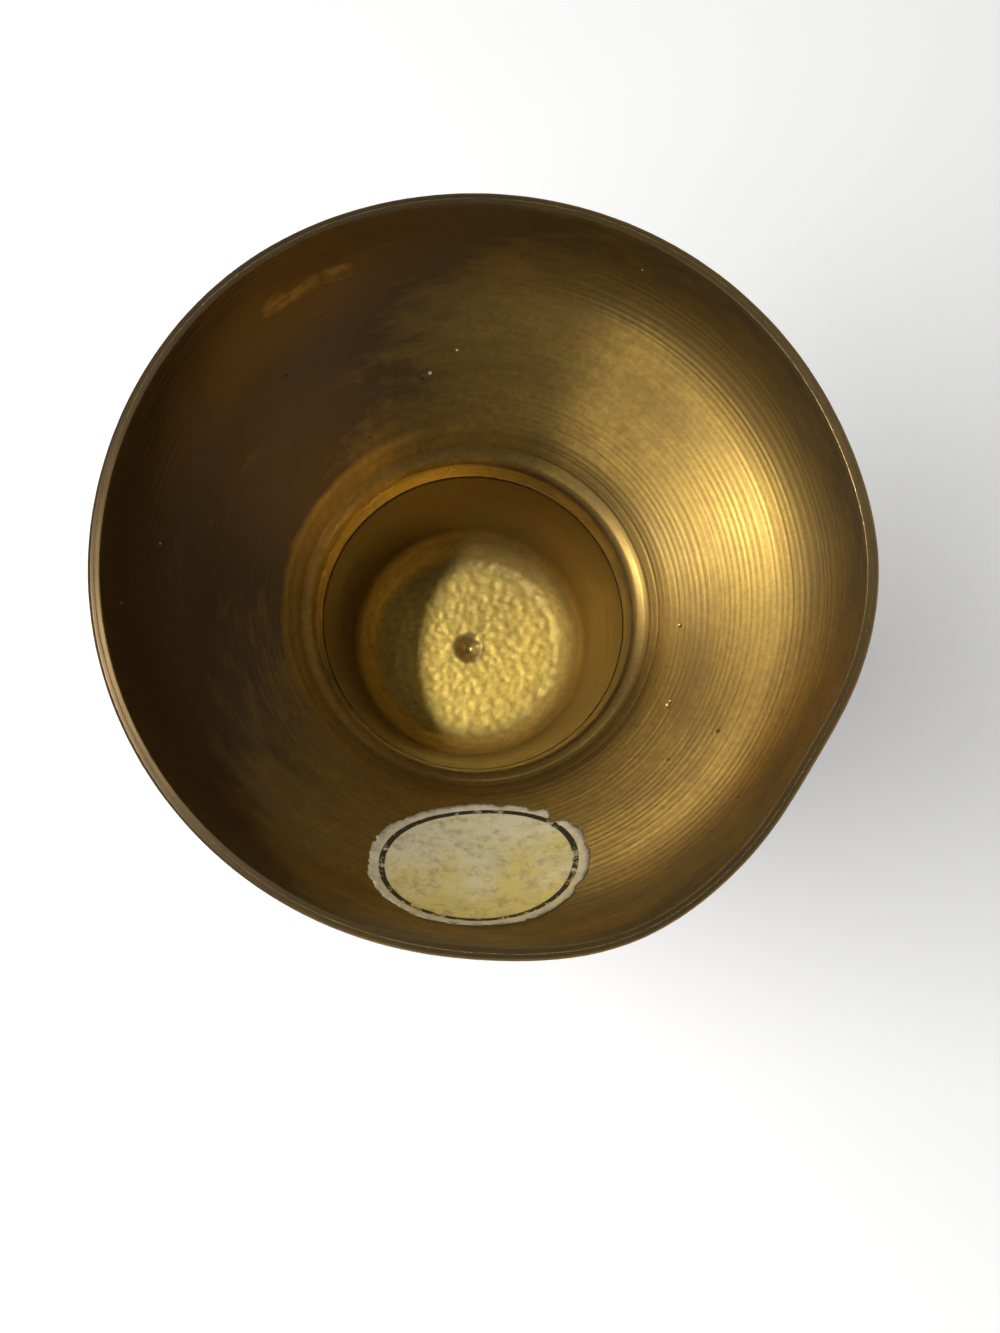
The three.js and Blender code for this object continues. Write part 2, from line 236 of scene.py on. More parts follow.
class BodySizes(bpy.types.PropertyGroup):
    """Sizes of the two bowls and of the collars."""

    wall: length("Wall", "Thickness of the bowls", 2.2)
    tenon_radius: length("Tenon radius", "Radius of the hollow tenon in the foot", 18.3)
    tenon_wall: length("Tenon wall", "Thickness of the tenon", 1.2)
    solder_run: length("Solder run", "How far run solder hangs below the end of the tenon", 1.7)
    lean_height: length("Lean height", "Height above the tenon's end where the cavity leans out", 2.5)
    cavity_rise: length("Cavity rise", "Height of the raw face above the underside of the bowl", 2.8)
    cavity_round: length("Cavity round", "Reach of the round at the end of the cavity", 5.3)
    mark_radius: length("Mark radius", "Radius of the lathe's centre mark", 1.3)
    mark_depth: length("Mark depth", "Depth of the lathe's centre mark", 1.1)
    base: length("Base", "Thickness of the metal above the raw face", 3.4)
    flange: length("Flange", "Width of the bowl's seat on the collar", 2.2)
    lower_turn: length("Lower turn", "Pull of the lower bowl's curve at its ends", 16)
    upper_turn: length("Upper turn", "Pull of the upper bowl's curve at the seam", 16)
    shoulder_rise: length("Shoulder rise", "Pull of the upper bowl's curve at the neck", 8)
    shoulder_land: length("Shoulder land", "Width of the shoulder's seat for the neck", 3.6)
    shoulder: length("Shoulder", "Thickness of the shoulder", 4)
    lap: length("Lap", "Height of the lap at the seam", 3)
    spigot: length("Spigot", "Thickness of the upper bowl's spigot in the lap", 0.8)
    play: length("Play", "Gap between the pieces", 0.3)
    collar_land: length("Collar land", "Height of the flat edges of a collar", 1.1)
    stem_collar_width: length("Stem collar width", "Width of the stem collar's lands", 3.8)
    neck_collar_width: length("Neck collar width", "Width of the neck collar's lands", 3)
    relief: length("Cast relief", "Height of the grains of the raw casting", 0.4)
    grain: length("Cast grain", "Size of the grains of the raw casting", 0.9)


class NeckSizes(bpy.types.PropertyGroup):
    """Sizes of the trumpet neck."""

    tenon_radius: length("Tenon radius", "Radius of the neck and of its tenon", 11.7)
    wall: length("Wall", "Thickness of the neck", 1.5)
    flange: length("Flange", "Width and height of the flange on the collar", 1.8)
    waist: length("Waist", "Height of the straight waist above the flange", 8)
    waist_rise: length("Waist rise", "Pull of the flare's curve at the waist", 15.3)
    flare_width: length("Flare width", "Pull of the flare's curve across, at the mouth", 4.5)
    flare_drop: length("Flare drop", "Pull of the flare's curve down, at the mouth", 6)
    lip: length("Lip", "Radius of the rolled lip", 1.5)


class LabelSizes(bpy.types.PropertyGroup):
    """Sizes of the oval paper label inside the foot."""

    width: length("Width", "Long diameter of the oval", 25.8)
    height: length("Height", "Short diameter of the oval", 21.6)
    thickness: length("Thickness", "Thickness of the paper", 0.1)
    from_crease: length("From crease", "Distance of the oval's middle from the crease, down the cone", 11.6)
    curl: length("Curl", "How far the worn edge lifts off the brass", 0.05)
    turn: FloatProperty(
        name="Turn", description="Turn of the oval on the cone", default=math.radians(16), subtype="ANGLE"
    )
    border: factor("Border", "Place of the printed border, as a share of the oval", 0.866)


class Finishes(bpy.types.PropertyGroup):
    """Colours and roughness of the brass, the solder and the paper."""

    polished: colour("Polished brass", "Brass where it was buffed", 0.74, 0.49, 0.155)
    turned: colour("Turned brass", "Brass as the lathe left it", 0.68, 0.425, 0.10)
    cast: colour("Cast brass", "Raw face of the casting", 0.94, 0.67, 0.135)
    # Tarnish is also the colour of the painted shade inside the foot and on the raw face.
    tarnish: colour("Tarnish", "Brown film on old brass", 0.155, 0.104, 0.05)
    # This colour also paints shade in the bore, on the solder run and in hollow corners.
    grime_and_shade: colour("Grime", "Old dirt in the bore and the pits", 0.07, 0.045, 0.018)
    dust: colour("Dust", "Pale specks inside the foot", 0.75, 0.7, 0.6)
    solder: colour("Solder", "Dull solder", 0.42, 0.40, 0.36)
    solder_film: colour("Solder film", "Grey film on old solder", 0.16, 0.14, 0.11)
    paper: colour("Paper", "Paper where it is cleanest", 0.58, 0.51, 0.32)
    aged_paper: colour("Aged paper", "Paper where it has yellowed", 0.55, 0.42, 0.12)
    paper_stain: colour("Paper stain", "Brown spots on the paper", 0.22, 0.17, 0.08)
    paper_smudge: colour("Paper smudge", "Grey smudges on the paper", 0.30, 0.27, 0.17)
    torn_paper: colour("Torn paper", "Bare fibres at the worn edge", 0.42, 0.37, 0.26)
    dirty_edge: colour("Dirty edge", "Dirt on the outermost fibres", 0.19, 0.14, 0.07)
    ink: colour("Ink", "Printed border of the label", 0.026, 0.016, 0.008)
    turned_roughness: factor("Turned roughness", "Roughness of brass as the lathe left it", 0.3)
    polished_roughness: factor("Polished roughness", "Roughness of buffed brass", 0.16)
    cast_roughness: factor("Cast roughness", "Roughness of the raw casting", 0.6)


class StageSettings(bpy.types.PropertyGroup):
    """The camera, the floor and the light."""

    lens: FloatProperty(
        name="Lens", description="Focal length for a 36 mm picture height", default=49.56, unit="CAMERA"
    )
    camera: FloatVectorProperty(
        name="Camera", description="Place of the camera, below the foot",
        default=(9.61 * MM, -50.39 * MM, -191.45 * MM), unit="LENGTH", precision=5,
    )
    aim: FloatVectorProperty(
        name="Aim", description="Point that the camera looks at",
        default=(-1.5 * MM, -11.8 * MM, 0), unit="LENGTH", precision=5,
    )
    floor_radius: length("Floor radius", "Radius of the pale floor", 6000)
    floor_drop: length("Floor drop", "Gap between the rim and the floor", 0.2)
    floor_lap: length("Floor lap", "How far the floor reaches in under the rim", 0.15)
    ambient: factor("Ambient", "Strength of the white surroundings on dull surfaces", 0.45)
    room: factor("Room", "Strength of the dim room below the floor", 0.15)
    segments: IntProperty(name="Segments", description="Facets of the floor round the foot", default=180)


# Sections of the turned pieces

def split(start, end, step):
    """Points from start to end at most a step apart, without the last."""
    count = max(1, math.ceil((end - start).length / step))
    return [start.lerp(end, index / count) for index in range(count)]


def bent(start, control, end, step):
    """Points of a quadratic curve, without the last."""
    count = max(4, math.ceil(((control - start).length + (end - control).length) / step))
    shares = [index / count for index in range(count)]
    return [start.lerp(control, t).lerp(control.lerp(end, t), t) for t in shares]


def swept(start, start_control, end_control, end, count):
    """Points of a cubic curve, with both ends."""
    points = []
    for index in range(count + 1):
        t = index / count
        first = start.lerp(start_control, t)
        middle = start_control.lerp(end_control, t)
        last = end_control.lerp(end, t)
        points.append(first.lerp(middle, t).lerp(middle.lerp(last, t), t))
    return points


def outline(corners, step):
    """Points along corners, each (radius, height) or (radius, height, reach of its round)."""
    places = [Vector(corner[:2]) for corner in corners]
    points = []
    leave = places[0]
    for before, corner, after, rule in zip(places, places[1:], places[2:], corners[1:]):
        reach = rule[2] if len(rule) > 2 else 0
        enter = corner + (before - corner).normalized() * reach
        points += split(leave, enter, step)
        leave = corner + (after - corner).normalized() * reach
        if reach:
            points += bent(enter, corner, leave, step)
    return points + split(leave, places[-1], step) + [places[-1]]


def arc(middle, radius, start, end, count, rise=None):
    """Points of a circle or an ellipse between two angles in degrees."""
    angles = [math.radians(start + (end - start) * index / count) for index in range(count + 1)]
    return [middle + Vector((math.cos(a) * radius, math.sin(a) * (rise or radius))) for a in angles]


def shifted(points, distance):
    """The same points moved to the left of their run."""
    moved = []
    for index, place in enumerate(points):
        before = points[max(index - 1, 0)]
        after = points[min(index + 1, len(points) - 1)]
        along = (after - before).normalized()
        moved.append(place + Vector((-along.y, along.x)) * distance)
    return moved


def incised(points, lines, width=LINE_WIDTH, depth=LINE_DEPTH):
    """The same run with grooves cut into it, at distances in millimetres from its start."""
    places = [line * MM for line in lines]
    cut = []
    travelled = 0.0
    for before, after in zip(points, points[1:]):
        step = (after - before).length
        cut.append((travelled, before))
        travelled += step
    cut.append((travelled, points[-1]))
    marks = [place + width * share for place in places for share in (-0.5, -0.25, 0.0, 0.25, 0.5)]
    clear = width * 0.6
    kept = [entry for entry in cut if all(abs(entry[0] - place) > clear for place in places)]
    for spot in marks:
        index = max(i for i, (start, _) in enumerate(cut[:-1]) if start <= spot)
        (start, before), (end, after) = cut[index], cut[index + 1]
        along = (after - before).normalized()
        nearest = min(abs(spot - place) for place in places)
        sink = depth * (1 - (2 * nearest / width) ** 2)
        inward = Vector((-along.y, along.x))
        kept.append((spot, before.lerp(after, (spot - start) / (end - start)) + inward * sink))
    return [place for _, place in sorted(kept, key=lambda entry: entry[0])]


def eased(first, last, points, reach):
    """Runs of single points whose finish goes over from the first to the last within a reach."""
    runs = []
    travelled = 0.0
    for before, place in zip([points[0], *points], points):
        travelled += (place - before).length
        share = min(1.0, travelled / reach)
        runs.append((tuple(a + (b - a) * share for a, b in zip(first, last)), [place]))
    return runs


def crevices(places, closed, reach):
    """How far into a hollow corner each point of a section lies, from 0 to 1."""
    count = len(places)
    depths = [0.0] * count
    for index in range(0 if closed else 1, count if closed else count - 1):
        before, place, after = places[index - 1], places[index], places[(index + 1) % count]
        arrive, leave = (place - before).normalized(), (after - place).normalized()
        hollow = arrive.y * leave.x - arrive.x * leave.y
        if hollow < 0.005:
            continue
        for way in (-1, 1):
            away, spot = 0.0, index
            while away < 3 * reach and (closed or 0 < spot < count - 1):
                following = (spot + way) % count
                if way > 0 or spot != index:
                    depths[spot] += hollow * math.exp(-away / reach)
                away += (places[following] - places[spot]).length
                spot = following
    return [min(1.0, depth) for depth in depths]


# Node trees

class Wiring:
    """Adds nodes to a tree and joins them."""

    def __init__(self, tree):
        self.tree = tree

    def feed(self, socket, value):
        """Links a socket to another, or sets it to a value."""
        if isinstance(value, bpy.types.NodeSocket):
            self.tree.links.new(value, socket)
        elif value is not None:
            is_colour = socket.type == "RGBA" and len(value) == 3
            socket.default_value = (*value, 1.0) if is_colour else value

    def add(self, kind, *values, **settings):
        """A node of that kind with its inputs fed in order, by sockets or by values."""
        node = self.tree.nodes.new(kind)
        for name, setting in settings.items():
            setattr(node, name, setting)
        for socket, value in zip(node.inputs, values):
            self.feed(socket, value)
        return node

    def maths(self, operation, *values, clamp=False):
        return self.add("ShaderNodeMath", *values, operation=operation, use_clamp=clamp).outputs[0]

    def times(self, first, second):
        return self.maths("MULTIPLY", first, second)

    def rest(self, share):
        """What a share leaves of the whole."""
        return self.maths("SUBTRACT", 1.0, share)

    def vector_maths(self, operation, *values):
        node = self.add("ShaderNodeVectorMath", *values, operation=operation)
        number = operation in ("LENGTH", "DISTANCE", "DOT_PRODUCT")
        return node.outputs["Value" if number else "Vector"]

    def scaled(self, vector, amount):
        node = self.add("ShaderNodeVectorMath", vector, operation="SCALE")
        self.feed(node.inputs["Scale"], amount)
        return node.outputs[0]

    def ramp(self, value, low, high, to_low=0.0, to_high=1.0, smooth=False):
        """The value brought from one range to another, held at its ends."""
        node = self.add("ShaderNodeMapRange", value, low, high, to_low, to_high)
        node.interpolation_type = "SMOOTHSTEP" if smooth else "LINEAR"
        return node.outputs[0]

    def blend(self, share, first, second):
        """A number between two."""
        node = self.add("ShaderNodeMix", share, data_type="FLOAT")
        self.feed(node.inputs[2], first)
        self.feed(node.inputs[3], second)
        return node.outputs[0]

    def tint(self, share, first, second):
        """A colour between two."""
        node = self.add("ShaderNodeMix", share, data_type="RGBA")
        self.feed(node.inputs[6], first)
        self.feed(node.inputs[7], second)
        return node.outputs[2]

    def noise(self, vector, size, detail=2.0, roughness=0.5):
        """Soft noise whose patches are about one size across, in metres."""
        node = self.add("ShaderNodeTexNoise", vector, noise_dimensions="3D")
        for name, value in (("Scale", 1 / size), ("Detail", detail), ("Roughness", roughness)):
            self.feed(node.inputs[name], value)
        return node.outputs["Fac"]

    def place(self):
        """Coordinates of the object itself, in metres."""
        return self.add("ShaderNodeTexCoord").outputs["Object"]

    def level(self, vector):
        """The vector without its height."""
        return self.vector_maths("MULTIPLY", vector, (1.0, 1.0, 0.0))

    def bump(self, height, distance, strength=None):
        """A normal tilted by a height."""
        node = self.add("ShaderNodeBump")
        for name, value in (("Strength", strength), ("Distance", distance), ("Height", height)):
            self.feed(node.inputs[name], value)
        return node.outputs[0]


def new_tree(name, kind, inputs, outputs):
    """A tree with sockets given as (name, type), and its wiring, input node and output node."""
    tree = bpy.data.node_groups.new(name, kind)
    for in_out, sockets in (("INPUT", inputs), ("OUTPUT", outputs)):
        for socket_name, socket_type in sockets:
            tree.interface.new_socket(socket_name, in_out=in_out, socket_type="NodeSocket" + socket_type)
    wiring = Wiring(tree)
    return tree, wiring, wiring.add("NodeGroupInput").outputs, wiring.add("NodeGroupOutput").inputs


def close_tree(w, given, made, geometry):
    """Ends a geometry tree with real geometry in the given material."""
    real = w.add("GeometryNodeRealizeInstances", geometry)
    painted = w.add("GeometryNodeSetMaterial", real.outputs[0])
    w.feed(painted.inputs["Material"], given["Material"])
    w.feed(made["Piece"], painted.outputs[0])


def lathe_tree():
    """Sweeps a section round the Z axis and adds the lathe's ripples and the grains of raw casting."""
    inputs = (
        ("Section", "Geometry"), ("Segments", "Int"), ("Ripple", "Float"), ("Ripple Length", "Float"),
        ("Cast Relief", "Float"), ("Cast Grain", "Float"), ("Material", "Material"),
    )
    outputs = (("Piece", "Geometry"),)
    tree, w, given, made = new_tree("Turned on the lathe", "GeometryNodeTree", inputs, outputs)
    section = w.add("GeometryNodeMeshToCurve", given["Section"]).outputs[0]
    circle = w.add("GeometryNodeCurvePrimitiveCircle", given["Segments"]).outputs[0]
    w.feed(circle.node.inputs["Radius"], HUB)
    sweep = w.add("GeometryNodeCurveToMesh", circle)
    w.feed(sweep.inputs["Profile Curve"], section)
    welded = w.add("GeometryNodeMergeByDistance", sweep.outputs[0])
    w.feed(welded.inputs["Distance"], WELD)

    def mark(name):
        return w.add("GeometryNodeInputNamedAttribute", name, data_type="FLOAT").outputs[0]

    place = w.add("GeometryNodeInputPosition").outputs[0]
    normal = w.add("GeometryNodeInputNormal").outputs[0]
    cast = mark("cast")
    turn = w.add("ShaderNodeTexNoise", noise_dimensions="1D")
    w.feed(turn.inputs["W"], w.maths("DIVIDE", mark("along"), given["Ripple Length"]))
    w.feed(turn.inputs["Scale"], 1.0)
    ripple = w.times(w.maths("SUBTRACT", turn.outputs[0], 0.5), given["Ripple"])
    ripple = w.times(ripple, w.rest(cast))
    grains = w.add("ShaderNodeTexVoronoi", place, feature="SMOOTH_F1")
    w.feed(grains.inputs["Scale"], w.maths("DIVIDE", 1.0, given["Cast Grain"]))
    lumps = w.times(w.maths("SUBTRACT", 0.5, grains.outputs["Distance"]), given["Cast Relief"])
    lift = w.maths("MULTIPLY_ADD", lumps, cast, ripple)
    moved = w.add("GeometryNodeSetPosition", welded.outputs[0])
    w.feed(moved.inputs["Offset"], w.scaled(normal, lift))
    smooth = w.add("GeometryNodeSetShadeSmooth", moved.outputs[0])
    close_tree(w, given, made, smooth.outputs[0])
    return tree


def swell_tree():
    """Moves what is near the rim in or out, in a few directions, and less the higher it is."""
    numbers = range(1, len(RIM_SWELLS) + 1)
    inputs = [("Piece", "Geometry"), ("Fade Height", "Float"), ("Material", "Material")]
    for index in numbers:
        inputs += [(f"{name} {index}", "Float") for name in ("Direction", "Width", "Travel")]
    tree, w, given, made = new_tree("Rim swells", "GeometryNodeTree", inputs, (("Piece", "Geometry"),))
    place = w.add("GeometryNodeInputPosition").outputs[0]
    parts = w.add("ShaderNodeSeparateXYZ", place).outputs
    azimuth = w.maths("ARCTAN2", parts["Y"], parts["X"])
    total = None
    for index in numbers:
        away = w.maths("SUBTRACT", azimuth, given[f"Direction {index}"])
        away = w.maths("WRAP", away, math.pi, -math.pi)
        share = w.maths("DIVIDE", away, given[f"Width {index}"])
        bell = w.maths("EXPONENT", w.times(w.times(share, share), -1.0))
        travel = w.times(bell, given[f"Travel {index}"])
        total = travel if total is None else w.maths("ADD", total, travel)
    fade = w.ramp(parts["Z"], 0.0, given["Fade Height"], 1.0, 0.0, smooth=True)
    outward = w.vector_maths("NORMALIZE", w.level(place))
    moved = w.add("GeometryNodeSetPosition", given["Piece"])
    w.feed(moved.inputs["Offset"], w.scaled(outward, w.times(total, fade)))
    close_tree(w, given, made, moved.outputs[0])
    return tree


def existing(name, make):
    """The node tree of that name, made on its first use."""
    return bpy.data.node_groups.get(name) or make()


def run_tree(piece, tree, **values):
    """Adds a tree to a piece with its named inputs set; underscores stand for spaces."""
    modifier = piece.modifiers.new(tree.name, "NODES")
    modifier.node_group = tree
    sockets = {item.name: item.identifier for item in tree.interface.items_tree if item.in_out == "INPUT"}
    for name, value in values.items():
        modifier[sockets[name.replace("_", " ")]] = value


def swell(piece, fade_height, material):
    """Puts the rim's swellings on a piece."""
    values = {}
    for index, (direction, width, travel) in enumerate(RIM_SWELLS, 1):
        values[f"Direction_{index}"] = math.radians(direction)
        values[f"Width_{index}"] = math.radians(width)
        values[f"Travel_{index}"] = travel * MM
    tree = existing("Rim swells", swell_tree)
    run_tree(piece, tree, Fade_Height=fade_height, Material=material, **values)


# Pieces

def new_object(name, mesh):
    piece = bpy.data.objects.new(name, mesh)
    bpy.context.scene.collection.objects.link(piece)
    return piece


def section_object(name, runs, closed):
    """A section as a chain of edges. Each run has a finish and points of radius and height."""
    places, finishes, along = [], [], []
    travelled = 0.0
    for finish, points in runs:
        for place in points:
            step = (place - places[-1]).length if places else 0.0
            if places and step < WELD:
                continue
            travelled += step
            places.append(place)
            finishes.append(finish)
            along.append(travelled / MM)
    if closed and (places[-1] - places[0]).length < WELD:
        for values in (places, finishes, along):
            values.pop()
    edges = [(index, index + 1) for index in range(len(places) - 1)]
    edges += [(len(places) - 1, 0)] if closed else []
    mesh = bpy.data.meshes.new(name)
    mesh.from_pydata([(place.x - HUB, -place.y, 0.0) for place in places], edges, [])
    # Hollow corners are darkened: grime and painted shade.
    hollows = crevices(places, closed, CREVICE_REACH)
    finishes = [
        (polish, cast, max(grime_and_shade, hollow)) for (polish, cast, grime_and_shade), hollow in zip(finishes, hollows)
    ]
    for mark, values in zip((*MARKS, "along"), (*zip(*finishes), along)):
        mesh.attributes.new(mark, "FLOAT", "POINT").data.foreach_set("value", values)
    return new_object(name, mesh)


def settle(piece):
    """Makes the piece a plain mesh with its faces outward, and drops its modifiers."""
    graph = bpy.context.evaluated_depsgraph_get()
    made = piece.evaluated_get(graph)
    mesh = bpy.data.meshes.new_from_object(made, preserve_all_data_layers=True, depsgraph=graph)
    piece.modifiers.clear()
    plan = piece.data
    piece.data = mesh
    bpy.data.meshes.remove(plan)
    mesh.name = piece.name
    work = bmesh.new()
    work.from_mesh(mesh)
    bmesh.ops.recalc_face_normals(work, faces=work.faces)
    work.to_mesh(mesh)
    open_edges = sum(not edge.is_manifold for edge in work.edges)
    work.free()
    if open_edges:
        raise RuntimeError(f"{piece.name} has {open_edges} open edges")


def turned(name, runs, material, closed=True, segments=180, **relief):
    """A piece turned from its section."""
    piece = section_object(name, runs, closed)
    values = {"Ripple": 0.0, "Ripple_Length": 1.0, "Cast_Relief": 0.0, "Cast_Grain": MM, **relief}
    tree = existing("Turned on the lathe", lathe_tree)
    run_tree(piece, tree, Segments=segments, Material=material, **values)
    return piece


def seat(piece, node):
    """Settles the piece and lets it stand for its node of the frame."""
    settle(piece)
    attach(piece, "root")
    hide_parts(node)


def foot_wall(foot, rim_radius):
    """Corners of the foot's inside wall, from the crease down to the rim."""
    rim_inner = rim_radius - foot.rim_wall
    crease = (foot.bore + foot.funnel_width, foot.crease_height)
    skirt = (rim_inner - foot.skirt_inset, foot.skirt_height)
    return crease, skirt, (rim_inner, 0.0)


def rim_radius_of(foot_node):
    """The rim's radius where no swelling reaches, from the frame."""
    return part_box(foot_node)[1].y


# Materials

def new_material(name):
    material = bpy.data.materials.new(name)
    material.use_nodes = True
    wiring = Wiring(material.node_tree)
    shader = material.node_tree.nodes["Principled BSDF"]
    return material, wiring, shader.inputs


def lathe_lines_group():
    """Fine rings along the section, which come and go round the piece."""
    inputs = (("Vector", "Vector"), ("Along", "Float"), ("Spacing", "Float"))
    tree, w, given, made = new_tree("Lathe lines", "ShaderNodeTree", inputs, (("Height", "Float"),))
    flat = w.vector_maths("NORMALIZE", w.level(given["Vector"]))
    parts = w.add("ShaderNodeSeparateXYZ", flat).outputs
    across = w.maths("DIVIDE", given["Along"], given["Spacing"])
    place = w.add("ShaderNodeCombineXYZ", across, parts["X"], parts["Y"]).outputs[0]
    rough_lines = w.ramp(w.noise(place, 1.0, detail=3.0, roughness=0.62), 0.25, 0.75)
    slow = w.noise(w.scaled(place, 0.22), 1.0, detail=2.0)
    phase = w.maths("MULTIPLY_ADD", slow, 2.2, across)
    wave = w.maths("SINE", w.times(phase, 2 * math.pi))
    strength = w.ramp(slow, 0.35, 0.65, 0.1, 0.3)
    rough_lines = w.times(rough_lines, 0.8)
    w.feed(made["Height"], w.maths("MULTIPLY_ADD", wave, strength, rough_lines))
    return tree


def round_way_group():
    """Places on a turned surface drawn together round the axis, so that patterns run with the turning."""
    inputs = (("Vector", "Vector"), ("Along", "Float"))
    tree, w, given, made = new_tree("Round the axis", "ShaderNodeTree", inputs, (("Vector", "Vector"),))
    flat = w.vector_maths("NORMALIZE", w.level(given["Vector"]))
    parts = w.add("ShaderNodeSeparateXYZ", w.scaled(flat, 11 * MM)).outputs
    along = w.times(given["Along"], MM)
    w.feed(made["Vector"], w.add("ShaderNodeCombineXYZ", parts["X"], parts["Y"], along).outputs[0])
    return tree


def tarnish_group():
    """A brown film in patches, with finer mottling inside them."""
    inputs = (
        ("Vector", "Vector"), ("Colour", "Color"), ("Tarnish", "Color"),
        ("Amount", "Float"), ("Even", "Float"),
    )
    outputs = (("Colour", "Color"), ("Film", "Float"))
    tree, w, given, made = new_tree("Tarnish", "ShaderNodeTree", inputs, outputs)
    patches = w.noise(given["Vector"], 9 * MM, detail=4.0, roughness=0.6)
    mottle = w.noise(given["Vector"], 1.6 * MM, detail=5.0, roughness=0.7)
    film = w.maths("MULTIPLY_ADD", mottle, 0.7, patches)
    film = w.ramp(film, 0.55, 1.15, smooth=True)
    # The painted shade input darkens the film further: painted shade inside the foot.
    film = w.maths("MULTIPLY_ADD", film, given["Amount"], given["Even"], clamp=True)
    w.feed(made["Film"], film)
    w.feed(made["Colour"], w.tint(film, given["Colour"], given["Tarnish"]))
    return tree


def specks_group():
    """Scattered specks: a mask of round spots, few of the cells having one."""
    inputs = (("Vector", "Vector"), ("Size", "Float"), ("Share", "Float"))
    tree, w, given, made = new_tree("Specks", "ShaderNodeTree", inputs, (("Mask", "Float"),))
    cells = w.add("ShaderNodeTexVoronoi", given["Vector"])
    w.feed(cells.inputs["Scale"], 1 / SPECK_CELL)
    size = w.maths("DIVIDE", given["Size"], SPECK_CELL)
    spot = w.ramp(w.maths("DIVIDE", cells.outputs["Distance"], size), 0.6, 1.0, 1.0, 0.0)
    chosen = w.add("ShaderNodeSeparateColor", cells.outputs["Color"]).outputs[0]
    few = w.maths("LESS_THAN", chosen, given["Share"])
    w.feed(made["Mask"], w.times(spot, few))
    return tree


def placed(w, name, make, **values):
    """Places a shader group in a material and returns its outputs."""
    node = w.add("ShaderNodeGroup", node_tree=existing(name, make))
    for socket, value in values.items():
        w.feed(node.inputs[socket], value)
    return node.outputs


def spots(w, vector, places):
    """A mask of round spots at places of the piece."""
    mask = 0.0
    for place, radius in places:
        away = w.vector_maths("DISTANCE", vector, [size * MM for size in place])
        spot = w.ramp(away, radius * 0.3 * MM, radius * MM, 1.0, 0.0, smooth=True)
        mask = w.maths("MAXIMUM", spot, mask)
    return mask


def painted_foot_shading(w, vector, round_way, polish, foot):
    """Darkening inside the foot, laid over its tarnish: painted shade heavy on one side, darker towards the
    rim, and painted shade over most of the bore's mouth.

    The funnel and the polished parts are left out, and a streak on the skirt is left lighter, as a painted
    reflection.
    """
    # Painted shade: the wall is darkened on the side where it lies in shade.
    side = w.vector_maths("DOT_PRODUCT", vector, SHADED_SIDE)
    height = w.add("ShaderNodeSeparateXYZ", vector).outputs["Z"]
    # Darker towards the rim.
    rim = w.ramp(height, 1 * MM, 12 * MM, 0.7, 0.0)
    film = w.maths("ADD", w.ramp(side, 0.0, 27 * MM, 0.0, 0.85, smooth=True), rim)
    # A lighter streak on the skirt, where the film is taken away: a painted reflection of the lit wall.
    painted_streak = w.ramp(w.noise(round_way, 0.8 * MM, detail=4.0, roughness=0.6), 0.15, 0.6)
    band = w.maths("ABSOLUTE", w.maths("SUBTRACT", height, STREAK_HEIGHT))
    painted_streak = w.times(painted_streak, w.ramp(band, 0.5 * MM, 2.2 * MM, 1.0, 0.0, smooth=True))
    painted_streak = w.times(painted_streak, spots(w, vector, FOOT_STREAK_SPOTS))
    film = w.maths("MULTIPLY_ADD", painted_streak, -0.75, film, clamp=True)
    cone = w.ramp(height, foot.crease_height - 0.2 * MM, foot.crease_height + 0.4 * MM, 1.0, 0.0)
    inside = w.times(cone, w.rest(polish))
    film = w.times(film, inside)
    reach = w.vector_maths("LENGTH", w.level(vector))
    # Painted shade over the bore's mouth, left off on the side where the mouth shows a reflection.
    mouth = w.ramp(reach, foot.bore + 0.8 * MM, foot.bore + 1.3 * MM, 1.0, 0.0)
    away = w.vector_maths("DOT_PRODUCT", vector, MOUTH_SHADED_SIDE)
    mouth = w.times(mouth, w.ramp(away, -17 * MM, -6 * MM, 0.0, 0.7, smooth=True))
    return w.maths("MAXIMUM", film, mouth)


